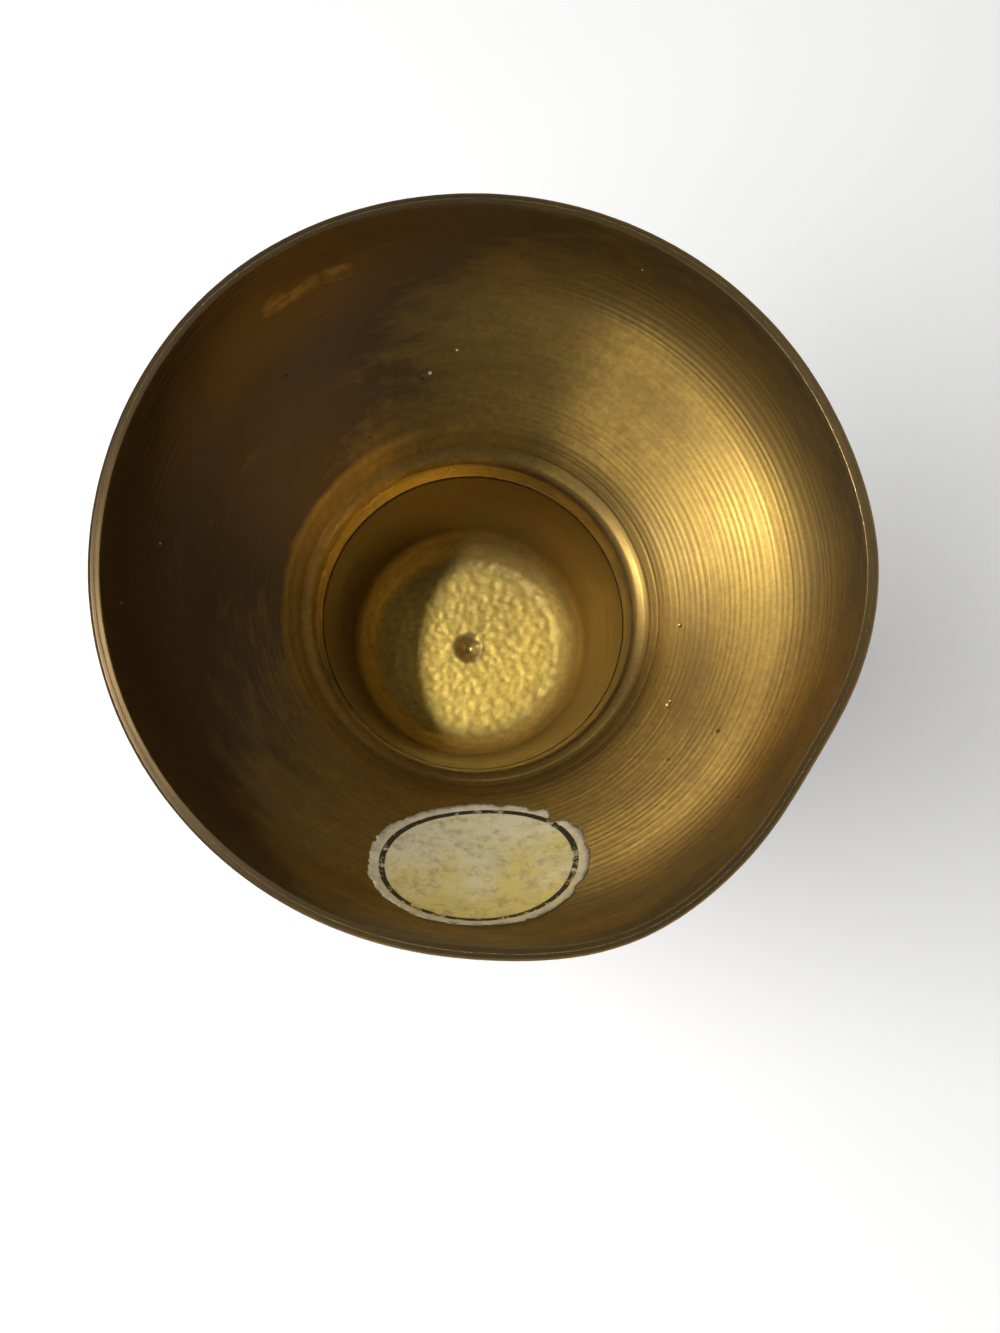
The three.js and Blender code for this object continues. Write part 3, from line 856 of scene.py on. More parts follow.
def brass(
    name, finishes, film, film_polished,
    foot=None, brushed=0.0, nicks=(), pits=(), specks=(), shade_spots=(),
):
    """Aged brass, polished, turned or raw cast as the piece's own marks say."""
    material, w, shader = new_material(name)
    vector = w.place()

    def mark(kind):
        return w.add("ShaderNodeAttribute", attribute_name=kind).outputs["Fac"]

    polish, cast, grime_and_shade, along = mark("polish"), mark("cast"), mark("grime_and_shade"), mark("along")
    lines = placed(
        w, "Lathe lines", lathe_lines_group, Vector=vector, Along=along, Spacing=LATHE_LINE_SPACING,
    )["Height"]
    round_way = placed(w, "Round the axis", round_way_group, Vector=vector, Along=along)["Vector"]
    skin = w.add("ShaderNodeMix", cast, data_type="VECTOR")
    w.feed(skin.inputs[4], round_way)
    w.feed(skin.inputs[5], vector)
    skin = skin.outputs[1]
    clean = w.tint(polish, finishes.turned, finishes.polished)
    clean = w.tint(cast, clean, finishes.cast)
    # Darkening: grime, and painted shade in the bore, on the solder run and in hollow corners.
    clean = w.tint(w.times(grime_and_shade, GRIME_AND_SHADE_SHARE), clean, finishes.grime_and_shade)
    amount = w.blend(polish, film, film_polished)
    amount = w.times(amount, w.blend(cast, 1.0, CAST_FILM_SHARE))
    # Inside the foot the film also carries painted shade and a painted reflection streak.
    painted_shading = painted_foot_shading(w, vector, round_way, polish, foot) if foot is not None else 0.0
    film_of = placed(
        w, "Tarnish", tarnish_group,
        Vector=skin, Colour=clean, Tarnish=finishes.tarnish, Amount=amount, Even=painted_shading,
    )
    blotch = w.ramp(w.noise(vector, BLOTCH_SIZE, detail=6.0, roughness=0.75), 0.42, 0.68)
    blotch = w.times(blotch, w.blend(polish, *BLOTCH_SHARES))
    mottled = w.tint(blotch, film_of["Colour"], finishes.tarnish)
    # Painted shade: darkens the top of the raw face.
    if shade_spots:
        face_darkened = w.times(spots(w, vector, shade_spots), FACE_SHADE_SHARE)
        mottled = w.tint(face_darkened, mottled, finishes.tarnish)
    dark = placed(w, "Specks", specks_group, Vector=vector, **DARK_SPECKS)["Mask"]
    moved = w.vector_maths("ADD", vector, DUST_SHIFT)
    dust = placed(w, "Specks", specks_group, Vector=moved, **DUST_SPECKS)["Mask"]
    hidden = w.rest(polish)
    dark = w.maths("MAXIMUM", dark, spots(w, vector, pits))
    dust = w.maths("MAXIMUM", dust, spots(w, vector, specks))
    shade = w.tint(w.times(dark, GRIME_AND_SHADE_SHARE), mottled, finishes.grime_and_shade)
    shade = w.tint(w.times(dust, hidden), shade, finishes.dust)
    w.feed(shader["Base Color"], shade)
    dull = w.maths("MULTIPLY_ADD", cast, CAST_DULLNESS, w.times(dust, DUST_DULLNESS))
    w.feed(shader["Metallic"], w.maths("SUBTRACT", 1.0, dull, clamp=True))
    rough = w.blend(polish, finishes.turned_roughness, finishes.polished_roughness)
    rough = w.blend(cast, rough, finishes.cast_roughness)
    rough = w.maths("MULTIPLY_ADD", film_of["Film"], FILM_ROUGHNESS, rough)
    rough = w.maths("MULTIPLY_ADD", blotch, BLOTCH_ROUGHNESS, rough)
    w.feed(shader["Roughness"], rough)
    fine = w.noise(vector, 0.35 * MM, detail=3.0)
    height = w.times(lines, w.blend(polish, *LATHE_LINE_SHARES))
    height = w.blend(cast, height, fine)
    for nick in nicks:
        height = w.maths("MULTIPLY_ADD", spots(w, vector, (nick,)), -NICK_DEPTH * nick[1], height)
    w.feed(shader["Normal"], w.bump(height, distance=0.04 * MM, strength=0.6))
    shader["Anisotropic"].default_value = brushed
    shader["Anisotropic Rotation"].default_value = 0.25
    w.feed(shader["Tangent"], w.add("ShaderNodeTangent", direction_type="RADIAL", axis="Z").outputs[0])
    return material


def solder_material(finishes):
    """Dull, slightly lumpy solder."""
    material, w, shader = new_material("Solder")
    vector = w.place()
    film_of = placed(
        w, "Tarnish", tarnish_group,
        Vector=vector, Colour=finishes.solder, Tarnish=finishes.solder_film, Amount=0.8,
    )
    w.feed(shader["Base Color"], film_of["Colour"])
    shader["Metallic"].default_value = 1.0
    w.feed(shader["Roughness"], w.ramp(film_of["Film"], 0.0, 1.0, 0.4, 0.65))
    lumps = w.noise(vector, 1.5 * MM, detail=3.0)
    w.feed(shader["Normal"], w.bump(lumps, distance=0.2 * MM))
    return material


def paper_material(finishes, border):
    """Aged paper with a plain printed border, worn to its fibres at the edge."""
    material, w, shader = new_material("Label paper")
    vector = w.place()
    sheet = w.add("ShaderNodeUVMap", uv_map="Paper").outputs[0]
    out = w.vector_maths("LENGTH", sheet)
    parts = w.add("ShaderNodeSeparateXYZ", sheet).outputs
    patches = w.noise(vector, 5 * MM, detail=6.0, roughness=0.65)
    # The paper is kept paler towards its top: painted sheen.
    painted_sheen = w.times(parts["Y"], 0.22)
    yellowing = w.maths("SUBTRACT", w.times(patches, 0.7), painted_sheen)
    ground = w.tint(w.ramp(yellowing, 0.18, 0.52, smooth=True), finishes.paper, finishes.aged_paper)
    stain = w.noise(vector, 1.5 * MM, detail=7.0, roughness=0.72)
    ground = w.tint(w.ramp(stain, 0.48, 0.74, 0.0, 0.9), ground, finishes.paper_stain)
    smudge = w.noise(vector, 3.2 * MM, detail=3.0)
    ground = w.tint(w.ramp(smudge, 0.55, 0.75, 0.0, 0.35), ground, finishes.paper_smudge)
    fray = w.noise(vector, 1.2 * MM, detail=6.0, roughness=0.7)
    worn = w.maths("MULTIPLY_ADD", fray, 0.22, out)
    ground = w.tint(w.ramp(worn, 0.99, 1.07), ground, finishes.torn_paper)
    ground = w.tint(w.ramp(worn, 1.055, 1.12), ground, finishes.dirty_edge)
    off_line = w.maths("ABSOLUTE", w.maths("SUBTRACT", out, border))
    line = w.ramp(w.maths("MULTIPLY_ADD", fray, 0.012, off_line), 0.031, 0.036, 1.0, 0.0)
    scuff = w.ramp(w.noise(vector, 1.8 * MM, detail=5.0, roughness=0.75), 0.37, 0.47)
    w.feed(shader["Base Color"], w.tint(w.times(line, scuff), ground, finishes.ink))
    w.feed(shader["Roughness"], w.ramp(stain, 0.3, 0.7, 0.5, 0.8))
    w.feed(shader["Specular IOR Level"], 0.25)
    fibres = w.noise(vector, 0.4 * MM, detail=5.0)
    w.feed(shader["Normal"], w.bump(fibres, distance=0.05 * MM, strength=0.5))
    return material


# Operators

def shoulder_bore(scene):
    """Radius of the shoulder's bore, which takes the neck's tenon with the usual play."""
    return scene.vase_neck.tenon_radius + scene.vase_body.play


class VASE_OT_foot(bpy.types.Operator):
    """Builds the bell foot with its dented rim"""

    bl_idname = "vase.foot"
    bl_label = "Bell foot"

    def execute(self, context):
        foot, finishes = context.scene.vase_foot, context.scene.vase_finishes
        rim_radius = rim_radius_of("foot")
        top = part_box("foot")[1].z
        crease, skirt, rim_inner = foot_wall(foot, rim_radius)
        slope = (Vector(crease) - Vector(skirt)).normalized()
        outward = Vector((slope.y, -slope.x)) * foot.cone_wall
        cone_foot = Vector(skirt) + outward
        cone_top = Vector(crease) + outward
        neck = foot.bore + foot.neck_wall
        rim_middle = rim_radius - foot.rim_wall / 2
        lip_middle = (rim_radius, foot.lip_height / 2)
        edge_out = outline([(rim_middle, 0.0), (rim_radius, 0.0, 0.3 * MM), lip_middle], step=0.2 * MM)
        top_edge = (neck - 0.6 * MM, top)
        outside = outline([
            lip_middle,
            (rim_radius, foot.lip_height, 0.4 * MM),
            (cone_foot.x + foot.step, cone_foot.y - foot.step, 0.35 * MM),
            (cone_foot.x, cone_foot.y - foot.step, 0.2 * MM),
            (cone_foot.x, cone_foot.y, 0.4 * MM),
            (cone_top.x, cone_top.y, foot.cove),
            (neck, top - foot.neck_straight, 1.5 * MM),
            (neck, top, 0.25 * MM),
            top_edge,
        ], step=0.45 * MM)
        outside = incised(outside, FOOT_LINES)
        mouth = Vector((foot.bore, foot.crease_height + foot.funnel_height))
        opening = mouth.y + foot.mouth_rise
        bore_end = (mouth.x, opening + 0.6 * MM)
        bore = outline([
            top_edge,
            (foot.bore + foot.chamfer, top, 0.1 * MM),
            (foot.bore, top - foot.chamfer, 0.2 * MM),
            bore_end,
        ], step=0.4 * MM)
        ring_in = mouth + Vector((0.3 * foot.funnel_width, -0.33 * foot.funnel_height))
        ring_out = mouth + Vector((0.48 * foot.funnel_width, -0.45 * foot.funnel_height))
        skirt_end = Vector(rim_inner).lerp(Vector(skirt), 0.07)
        inside = outline([
            bore_end,
            (mouth.x, opening, 0.3 * MM),
            (mouth.x + foot.mouth_flare, mouth.y - foot.mouth_flare, 0.45 * MM),
            (*ring_in, 0.4 * MM),
            (*ring_out, 0.4 * MM),
            (*crease, 0.7 * MM),
            (*skirt, foot.skirt_round),
            skirt_end,
        ], step=0.25 * MM)
        inside = incised(inside, FUNNEL_LINES, FUNNEL_LINE_WIDTH, FUNNEL_LINE_DEPTH)
        edge_in = outline([skirt_end, (*rim_inner, 0.1 * MM), (rim_middle, 0.0)], step=0.12 * MM)
        material = brass(
            "Foot brass", finishes, film=0.5, film_polished=0.3, foot=foot, brushed=0.58,
            nicks=FOOT_NICKS, pits=FOOT_PITS, specks=FOOT_DUST,
        )
        runs = (
            (WORN, edge_out), (POLISHED, outside), (TURNED, bore),
            *eased(BURNISHED, TURNED, inside, 5 * MM), (WORN, edge_in),
        )
        piece = turned(
            "bell_foot", runs, material,
            Ripple=foot.ripple, Ripple_Length=1.6, Cast_Relief=0.3 * MM, Cast_Grain=1.2 * MM,
        )
        swell(piece, foot.fade_height, material)
        seat(piece, "foot")
        return {"FINISHED"}


class VASE_OT_body(bpy.types.Operator):
    """Builds the two bowls of the body, with the raw face and the centre mark under the lower one"""

    bl_idname = "vase.body"
    bl_label = "Body"

    def execute(self, context):
        body, finishes = context.scene.vase_body, context.scene.vase_finishes
        material = brass("Body brass", finishes, film=0.8, film_polished=0.32, shade_spots=FACE_SHADE_SPOTS)
        self.lower_bowl(body, material)
        self.upper_bowl(body, shoulder_bore(context.scene), material)
        return {"FINISHED"}

    def lower_bowl(self, body, material):
        low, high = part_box("lower_bowl")
        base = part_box("stem_collar")[1].z + body.play
        cavity = body.tenon_radius - body.tenon_wall
        face = base + body.cavity_rise
        flat = cavity - body.cavity_round
        seat_radius = body.tenon_radius + body.flange
        mark_edge = (body.mark_radius + 0.7 * MM, face)
        deepest = face + body.mark_depth
        pit = swept(
            Vector((0.0, deepest)), Vector((body.mark_radius * 0.6, deepest)),
            Vector((body.mark_radius, face)), Vector(mark_edge), 14,
        )
        fillet = 1.2 * MM
        raw_end = flat - fillet
        raw = outline([mark_edge, (raw_end, face)], step=0.24 * MM)
        bored_end = (cavity, low.z + body.lean_height)
        bored = outline([
            (raw_end, face),
            (flat, face, fillet),
            (flat + body.cavity_round * 0.55, face - body.cavity_round * 0.62, 1.2 * MM),
            bored_end,
        ], step=0.28 * MM)
        tenon_end = outline([
            bored_end,
            (body.tenon_radius + body.play * 0.7, low.z - body.solder_run, 0.1 * MM),
            (body.tenon_radius, low.z + 2 * MM),
            (body.tenon_radius, base),
            (seat_radius, base),
        ], step=0.3 * MM)
        outside = swept(
            Vector((seat_radius, base)), Vector((seat_radius, base + body.lower_turn)),
            Vector((high.x, base + body.lower_turn)), Vector((high.x, high.z)), 110,
        )
        carved = incised(outside, LOWER_BOWL_LINES)
        ledge = high.z - body.lap
        inner = high.x - body.wall
        socket = inner + body.spigot + body.play
        lap = outline([(high.x, high.z), (socket, high.z), (socket, ledge), (inner, ledge)], step=0.6 * MM)
        floor = face + body.base
        walls = shifted(outside, body.wall)[::-2]
        walls = [place for place in walls if floor + body.wall < place.y < ledge - body.wall]
        floor_edge, middle = Vector((walls[-1].x - MM, floor)), Vector((0.0, floor))
        hollow = [Vector((inner, ledge)), *walls, *split(floor_edge, middle, MM), middle]
        runs = (
            *eased(POLISHED, PITTED, pit, 0.8 * MM), (CAST, raw), *eased(CAST, BORED, bored, 6 * fillet),
            (SOLDERED, tenon_end), (POLISHED, carved), (TURNED, lap), (TURNED, hollow),
        )
        piece = turned(
            "lower_bowl_casting", runs, material, closed=False,
            Cast_Relief=body.relief, Cast_Grain=body.grain, **SHELL_RIPPLE,
        )
        seat(piece, "lower_bowl")

    def upper_bowl(self, body, bore, material):
        low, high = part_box("upper_bowl")
        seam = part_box("lower_bowl")[1].z + body.play * 0.3
        land = bore + body.shoulder_land
        outside = swept(
            Vector((high.x, seam)), Vector((high.x, seam + body.upper_turn)),
            Vector((land, high.z - body.shoulder_rise)), Vector((land, high.z)), 90,
        )
        carved = incised(outside, UPPER_BOWL_LINES)
        underside = high.z - body.shoulder
        inner = high.x - body.wall
        top = outline([
            (land, high.z), (bore, high.z, 0.1 * MM), (bore, underside), (land, underside),
        ], step=0.6 * MM)
        walls = shifted(outside, body.wall)[::-2]
        walls = [place for place in walls if place.y < underside and place.x > land]
        spigot = inner + body.spigot
        lap = outline([(inner, low.z), (spigot, low.z), (spigot, seam), (high.x, seam)], step=0.6 * MM)
        runs = ((POLISHED, carved), (TURNED, [*top, *walls, *lap]))
        piece = turned("upper_bowl_shell", runs, material, **SHELL_RIPPLE)
        seat(piece, "upper_bowl")


class VASE_OT_collars(bpy.types.Operator):
    """Builds the beaded collars under the body and under the neck"""

    bl_idname = "vase.collars"
    bl_label = "Collars"

    def execute(self, context):
        body, finishes = context.scene.vase_body, context.scene.vase_finishes
        material = brass("Collar brass", finishes, film=0.6, film_polished=0.3, brushed=0.3)
        closing = body.play * 0.6
        collars = (
            ("stem_collar", context.scene.vase_foot.bore, body.stem_collar_width),
            ("neck_collar", shoulder_bore(context.scene), body.neck_collar_width),
        )
        for node, bore, width in collars:
            low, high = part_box(node)
            low.z -= closing
            high.z += closing
            land = bore + width
            middle = Vector((land, (low.z + high.z) / 2))
            rise = (high.z - low.z) / 2 - body.collar_land - closing
            bead = arc(middle, high.x - land, -90, 90, 40, rise)
            under = outline([(bore, low.z), (land, low.z, 0.15 * MM), bead[0]], step=0.4 * MM)
            over = outline([bead[-1], (land, high.z, 0.15 * MM), (bore, high.z)], step=0.4 * MM)
            inside = outline([(bore, high.z), (bore, low.z)], step=0.6 * MM)
            runs = ((POLISHED, [*under, *bead, *over]), (TURNED, inside))
            piece = turned(node + "_ring", runs, material)
            seat(piece, node)
        return {"FINISHED"}


class VASE_OT_neck(bpy.types.Operator):
    """Builds the trumpet neck with its rolled lip"""

    bl_idname = "vase.neck"
    bl_label = "Trumpet neck"

    def execute(self, context):
        neck, finishes = context.scene.vase_neck, context.scene.vase_finishes
        low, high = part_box("trumpet_neck")
        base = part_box("neck_collar")[1].z + context.scene.vase_body.play
        flange = neck.tenon_radius + neck.flange
        waist = base + neck.waist
        lip = Vector((high.x - neck.lip, high.z - neck.lip))
        flare_top = Vector((lip.x, lip.y - neck.lip))
        stem = outline([
            (neck.tenon_radius, low.z), (neck.tenon_radius, base), (flange, base, 0.15 * MM),
            (flange, base + neck.flange, 0.3 * MM), (neck.tenon_radius, waist),
        ], step=0.5 * MM)
        flare = swept(
            Vector((neck.tenon_radius, waist)), Vector((neck.tenon_radius, waist + neck.waist_rise)),
            flare_top - Vector((neck.flare_width, neck.flare_drop)), flare_top, 90,
        )
        carved = incised(flare, NECK_LINES)
        roll = arc(lip, neck.lip, -50, 135, 24)
        walls = [place for place in shifted(flare, neck.wall)[::-1] if place.y < lip.y]
        passage = outline([
            walls[-1], (neck.tenon_radius - neck.wall, low.z), (neck.tenon_radius, low.z),
        ], step=0.8 * MM)
        material = brass("Neck brass", finishes, film=0.8, film_polished=0.32, brushed=0.3)
        runs = ((POLISHED, [*stem, *carved, *roll]), (TURNED, [*walls, *passage]))
        piece = turned("trumpet_shell", runs, material, **SHELL_RIPPLE)
        seat(piece, "trumpet_neck")
        return {"FINISHED"}


class VASE_OT_solder(bpy.types.Operator):
    """Gives the three rings of solder their dull finish"""

    bl_idname = "vase.solder"
    bl_label = "Solder"

    def execute(self, context):
        material = solder_material(context.scene.vase_finishes)
        for node in ("foot_solder_ring", "seam_solder_ring", "neck_solder_ring"):
            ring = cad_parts[node]
            ring.data.materials.clear()
            ring.data.materials.append(material)
        return {"FINISHED"}


class VASE_OT_label(bpy.types.Operator):
    """Builds the worn oval of paper inside the foot"""

    bl_idname = "vase.label"
    bl_label = "Paper label"

    sides = 360
    rings = 24
    glue = 0.03 * MM
    reach = 0.99

    def execute(self, context):
        label, foot = context.scene.vase_label, context.scene.vase_foot
        material = paper_material(context.scene.vase_finishes, label.border)
        mesh = bpy.data.meshes.new("paper_label")
        sheet = self.sheet_points(label)
        wall = [Vector(corner) for corner in foot_wall(foot, rim_radius_of("foot"))]
        lifts = [self.glue + self.lift(label, place) for place in sheet]
        back = [self.on_cone(wall, foot, label, *spot) for spot in zip(sheet, lifts)]
        lifts = [lift + label.thickness for lift in lifts]
        front = [self.on_cone(wall, foot, label, *spot) for spot in zip(sheet, lifts)]
        mesh.from_pydata([*back, *front], [], self.faces(len(sheet)))
        paper = mesh.uv_layers.new(name="Paper")
        for loop in mesh.loops:
            place = sheet[loop.vertex_index % len(sheet)]
            paper.data[loop.index].uv = (2 * place.x / label.width, 2 * place.y / label.height)
        for face in mesh.polygons:
            face.use_smooth = True
        piece = new_object("paper_label", mesh)
        swell(piece, foot.fade_height, material)
        seat(piece, "label")
        return {"FINISHED"}

    def edge(self, angle):
        """Reach of the paper in one direction, as a share of the whole oval."""
        around = Vector((math.cos(angle), math.sin(angle), 0.0))
        ragged = sum(noise.noise(around * pace) * depth for pace, depth in LABEL_RAGS)
        torn = 0.0
        for direction, width, depth in LABEL_CHIPS:
            away = (math.degrees(angle) - direction + 180) % 360 - 180
            torn += depth * math.exp(-((away / width) ** 2))
        return self.reach + ragged - torn

    def sheet_points(self, label):
        """Points of the flat paper: its middle, then rings out to its edge."""
        points = [Vector((0.0, 0.0))]
        for ring in range(1, self.rings + 1):
            for side in range(self.sides):
                angle = 2 * math.pi * side / self.sides
                share = ring / self.rings * self.edge(angle)
                points.append(Vector((
                    math.cos(angle) * label.width / 2 * share, math.sin(angle) * label.height / 2 * share,
                )))
        return points

    def lift(self, label, place):
        """Height of the paper over the brass, which grows at the worn edge."""
        share = math.hypot(2 * place.x / label.width, 2 * place.y / label.height)
        wave = 0.5 + noise.noise(Vector((place.x, place.y, 0.0)) / (4 * MM))
        return label.curl * max(0.0, wave) * min(1.0, share) ** 10

    def on_cone(self, wall, foot, label, place, lift):
        """A place of the flat paper, laid on the foot's inside and lifted off it."""
        crease, skirt, rim = wall
        slope = (skirt - crease).normalized()
        apex = crease.x / slope.x
        cos, sin = math.cos(label.turn), math.sin(label.turn)
        across = place.x * cos - place.y * sin
        down = apex + label.from_crease - (place.x * sin + place.y * cos)
        reach = math.hypot(across, down) - apex
        turn = math.atan2(across, down) / slope.x
        place, inward = self.wall_at(crease, skirt, rim, foot.skirt_round, reach)
        place = place + inward * lift
        direction = -math.pi / 2 - turn
        return Vector((place.x * math.cos(direction), place.x * math.sin(direction), place.y))

    def wall_at(self, crease, skirt, rim, reach_of_round, reach):
        """The point of the foot's inside wall at a reach from the crease, and the way off the wall."""
        slope = (skirt - crease).normalized()
        drop = (rim - skirt).normalized()
        straight = (skirt - crease).length - reach_of_round
        if reach <= straight:
            return crease + slope * reach, Vector((slope.y, -slope.x))
        t = min(1.0, (reach - straight) / (2 * reach_of_round))
        start, end = skirt - slope * reach_of_round, skirt + drop * reach_of_round
        first, last = start.lerp(skirt, t), skirt.lerp(end, t)
        along = (last - first).normalized()
        return first.lerp(last, t), Vector((along.y, -along.x))

    def faces(self, count):
        """Faces of the front, the back and the edge of the paper."""
        def at(layer, ring, side):
            return layer * count + (1 + (ring - 1) * self.sides + side % self.sides if ring else 0)

        faces = []
        for side in range(self.sides):
            for layer in (0, 1):
                faces.append((at(layer, 0, 0), at(layer, 1, side), at(layer, 1, side + 1)))
                for ring in range(1, self.rings):
                    faces.append((
                        at(layer, ring, side), at(layer, ring + 1, side),
                        at(layer, ring + 1, side + 1), at(layer, ring, side + 1),
                    ))
            corners = ((0, side), (0, side + 1), (1, side + 1), (1, side))
            faces.append(tuple(at(layer, self.rings, turn) for layer, turn in corners))
        return faces


class VASE_OT_stage(bpy.types.Operator):
    """Sets the camera, the floor, the backdrop and the light"""

    bl_idname = "vase.stage"
    bl_label = "Stage"

    def execute(self, context):
        stage = context.scene.vase_stage
        context.scene.view_settings.view_transform = "Standard"
        self.camera(context, stage)
        floor = self.floor(context, stage)
        backdrop = self.backdrop()
        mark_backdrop(floor, backdrop, *self.flags())
        self.lamps(backdrop)
        self.world(context, stage)
        return {"FINISHED"}

    def camera(self, context, stage):
        data = bpy.data.cameras.new("Camera")
        data.lens = stage.lens
        data.clip_start = 5 * MM
        camera = new_object("Camera", data)
        place = Vector(stage.camera)
        forward = (Vector(stage.aim) - place).normalized()
        right = forward.cross(Vector((0, 1, 0))).normalized()
        up = right.cross(forward)
        turn = Matrix((right, up, -forward)).transposed().to_4x4()
        camera.matrix_world = Matrix.Translation(place) @ turn
        context.scene.camera = camera

    def pale_material(self, name, albedo, glow):
        """A white material that keeps shadows and meets the white surroundings without an edge.

        It comes with its wiring, its light paths, its shader and the socket for the surface.
        """
        material, w, _ = new_material(name)
        nodes = material.node_tree.nodes
        nodes.remove(nodes["Principled BSDF"])
        light = w.add("ShaderNodeLightPath").outputs
        away = w.vector_maths("LENGTH", w.place())
        dull = w.add("ShaderNodeBsdfDiffuse", (albedo, albedo, albedo)).outputs[0]
        seen = w.times(light["Is Camera Ray"], w.ramp(away, *glow, smooth=True))
        shine = w.add("ShaderNodeEmission", WHITE, seen).outputs[0]
        pale = w.add("ShaderNodeAddShader", dull, shine).outputs[0]
        return material, w, light, pale, nodes["Material Output"].inputs["Surface"]

    def floor(self, context, stage):
        """A pale floor, open under the foot and clear to a camera below it."""
        material, w, light, pale, surface = self.pale_material("Pale floor", FLOOR_ALBEDO, FLOOR_GLOW)
        below = w.add("ShaderNodeNewGeometry").outputs["Backfacing"]
        dark = w.add("ShaderNodeBsdfDiffuse", NEAR_BLACK).outputs[0]
        clear = w.add("ShaderNodeBsdfTransparent").outputs[0]
        under = w.add("ShaderNodeMixShader", light["Is Camera Ray"], dark, clear).outputs[0]
        w.feed(surface, w.add("ShaderNodeMixShader", below, pale, under).outputs[0])
        foot = context.scene.vase_foot
        inner = rim_radius_of("foot") - stage.floor_lap
        rings = [*(inner + ring * MM for ring in FLOOR_RINGS), stage.floor_radius]
        points = [Vector((radius, -stage.floor_drop)) for radius in rings]
        floor = turned("floor", ((TURNED, points),), material, closed=False, segments=stage.segments)
        swell(floor, foot.fade_height, material)
        graph = context.evaluated_depsgraph_get()
        mesh = bpy.data.meshes.new_from_object(floor.evaluated_get(graph), depsgraph=graph)
        floor.modifiers.clear()
        floor.data = mesh
        if mesh.polygons[0].normal.z < 0:
            mesh.flip_normals()
        return floor

    def sheet(self, name, corners, material, unseen):
        """A single flat face that some kinds of light ray pass by."""
        mesh = bpy.data.meshes.new(name)
        mesh.from_pydata(corners, [], [(0, 1, 2, 3)])
        mesh.materials.append(material)
        sheet = new_object(name, mesh)
        for kind in unseen:
            setattr(sheet, "visible_" + kind, False)
        return sheet

    def backdrop(self):
        """A white sheet behind the mouth. It shows only to a camera that looks up through the floor."""
        material, w, light, pale, surface = self.pale_material(
            "White backdrop", BACKDROP_ALBEDO, BACKDROP_GLOW
        )
        hidden = w.maths("LESS_THAN", light["Transparent Depth"], 0.5)
        clear = w.add("ShaderNodeBsdfTransparent").outputs[0]
        w.feed(surface, w.add("ShaderNodeMixShader", hidden, pale, clear).outputs[0])
        height = CAD_BOX[1].z + MM
        corners = [(x * BACKDROP_HALF, y * BACKDROP_HALF, height) for x, y in SQUARE]
        unseen = ("diffuse", "glossy", "transmission", "volume_scatter", "shadow")
        return self.sheet("backdrop", corners, material, unseen)

    def flags(self):
        """Dark cards round the vase that only its reflections show, as stripes beside the highlights."""
        material, w, shader = new_material("Dark card")
        w.feed(shader["Base Color"], NEAR_BLACK)
        w.feed(shader["Roughness"], 0.9)
        low, high = CARD_HEIGHTS
        unseen = ("camera", "diffuse", "transmission", "volume_scatter", "shadow")
        cards = []
        for index, (direction, width) in enumerate(DARK_CARDS, 1):
            turn = Matrix.Rotation(math.radians(direction), 4, "Z")
            corners = [(-width / 2, low), (width / 2, low), (width / 2, high), (-width / 2, high)]
            corners = [turn @ Vector((CARD_DISTANCE, *corner)) for corner in corners]
            cards.append(self.sheet(f"dark_card_{index}", corners, material, unseen))
        return cards

    def lamp(self, name, place, aim, width, height, power):
        data = bpy.data.lights.new(name, "AREA")
        data.shape = "RECTANGLE"
        data.size, data.size_y = width, height
        data.energy = power
        lamp = new_object(name, data)
        turn = (Vector(aim) - Vector(place)).to_track_quat("-Z", "Y").to_matrix().to_4x4()
        lamp.matrix_world = Matrix.Translation(place) @ turn
        return lamp

    def lamps(self, backdrop):
        """The lamps, and one more that lights only the backdrop and throws the vase's shadow on it."""
        for settings in LAMPS:
            self.lamp(*settings)
        behind = self.lamp(*BACKDROP_LAMP)
        lit = bpy.data.collections.new("Lit by the backdrop light")
        lit.objects.link(backdrop)
        behind.light_linking.receiver_collection = lit
        shading = bpy.data.collections.new("Shades the backdrop")
        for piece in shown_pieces():
            shading.objects.link(piece)
        behind.light_linking.blocker_collection = shading

    def world(self, context, stage):
        """White surroundings above the floor and a dim room below it."""
        world = bpy.data.worlds.new("Studio")
        world.use_nodes = True
        w = Wiring(world.node_tree)
        light = w.add("ShaderNodeLightPath").outputs
        way = w.add("ShaderNodeTexCoord").outputs["Generated"]
        height = w.add("ShaderNodeSeparateXYZ", way).outputs["Z"]
        above = w.ramp(height, -0.08, -0.03, stage.room, 1.0)
        seen = w.maths("ADD", light["Is Camera Ray"], light["Is Glossy Ray"])
        seen = w.maths("ADD", seen, light["Is Transmission Ray"], clamp=True)
        strength = w.times(above, w.blend(seen, stage.ambient, 1.0))
        background = world.node_tree.nodes["Background"]
        w.feed(background.inputs["Color"], WHITE)
        w.feed(background.inputs["Strength"], strength)
        context.scene.world = world


class VASE_PT_sidebar(bpy.types.Panel):
    """Lists the pieces and their sizes"""

    bl_idname = "VASE_PT_sidebar"
    bl_label = "Brass vase"
    bl_space_type = "VIEW_3D"
    bl_region_type = "UI"
    bl_category = "Vase"

    def draw(self, context):
        for operator in OPERATORS:
            self.layout.operator(operator.bl_idname)
        for name, group in SETTINGS.items():
            column = self.layout.column(align=True)
            column.label(text=group.__doc__)
            for size in group.__annotations__:
                column.prop(getattr(context.scene, name), size)


SETTINGS = {
    "vase_foot": FootSizes,
    "vase_body": BodySizes,
    "vase_neck": NeckSizes,
    "vase_label": LabelSizes,
    "vase_finishes": Finishes,
    "vase_stage": StageSettings,
}
OPERATORS = (
    VASE_OT_foot, VASE_OT_body, VASE_OT_collars, VASE_OT_neck, VASE_OT_solder, VASE_OT_label,
    VASE_OT_stage,
)


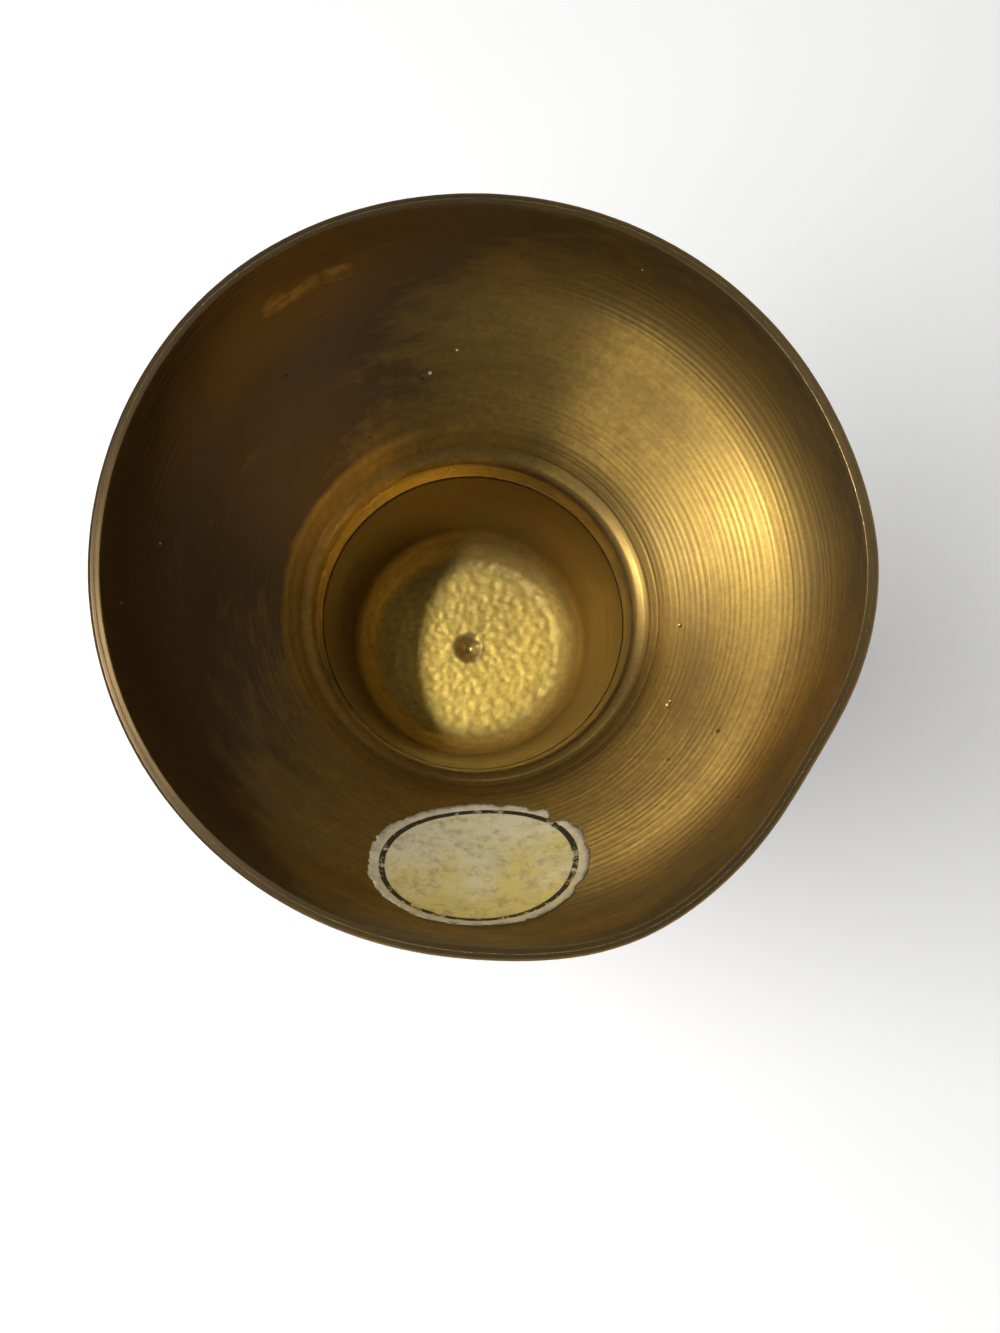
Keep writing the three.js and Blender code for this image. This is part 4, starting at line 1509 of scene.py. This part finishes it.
def register():
    for group in (*SETTINGS.values(), *OPERATORS, VASE_PT_sidebar):
        bpy.utils.register_class(group)
    for name, group in SETTINGS.items():
        setattr(bpy.types.Scene, name, PointerProperty(type=group))


def unregister():
    for name in SETTINGS:
        delattr(bpy.types.Scene, name)
    for group in (VASE_PT_sidebar, *OPERATORS, *SETTINGS.values()):
        bpy.utils.unregister_class(group)


def main():
    register()
    bpy.ops.vase.foot()
    bpy.ops.vase.body()
    bpy.ops.vase.collars()
    bpy.ops.vase.neck()
    bpy.ops.vase.solder()
    bpy.ops.vase.label()
    bpy.ops.vase.stage()


if __name__ == "__main__":
    main()
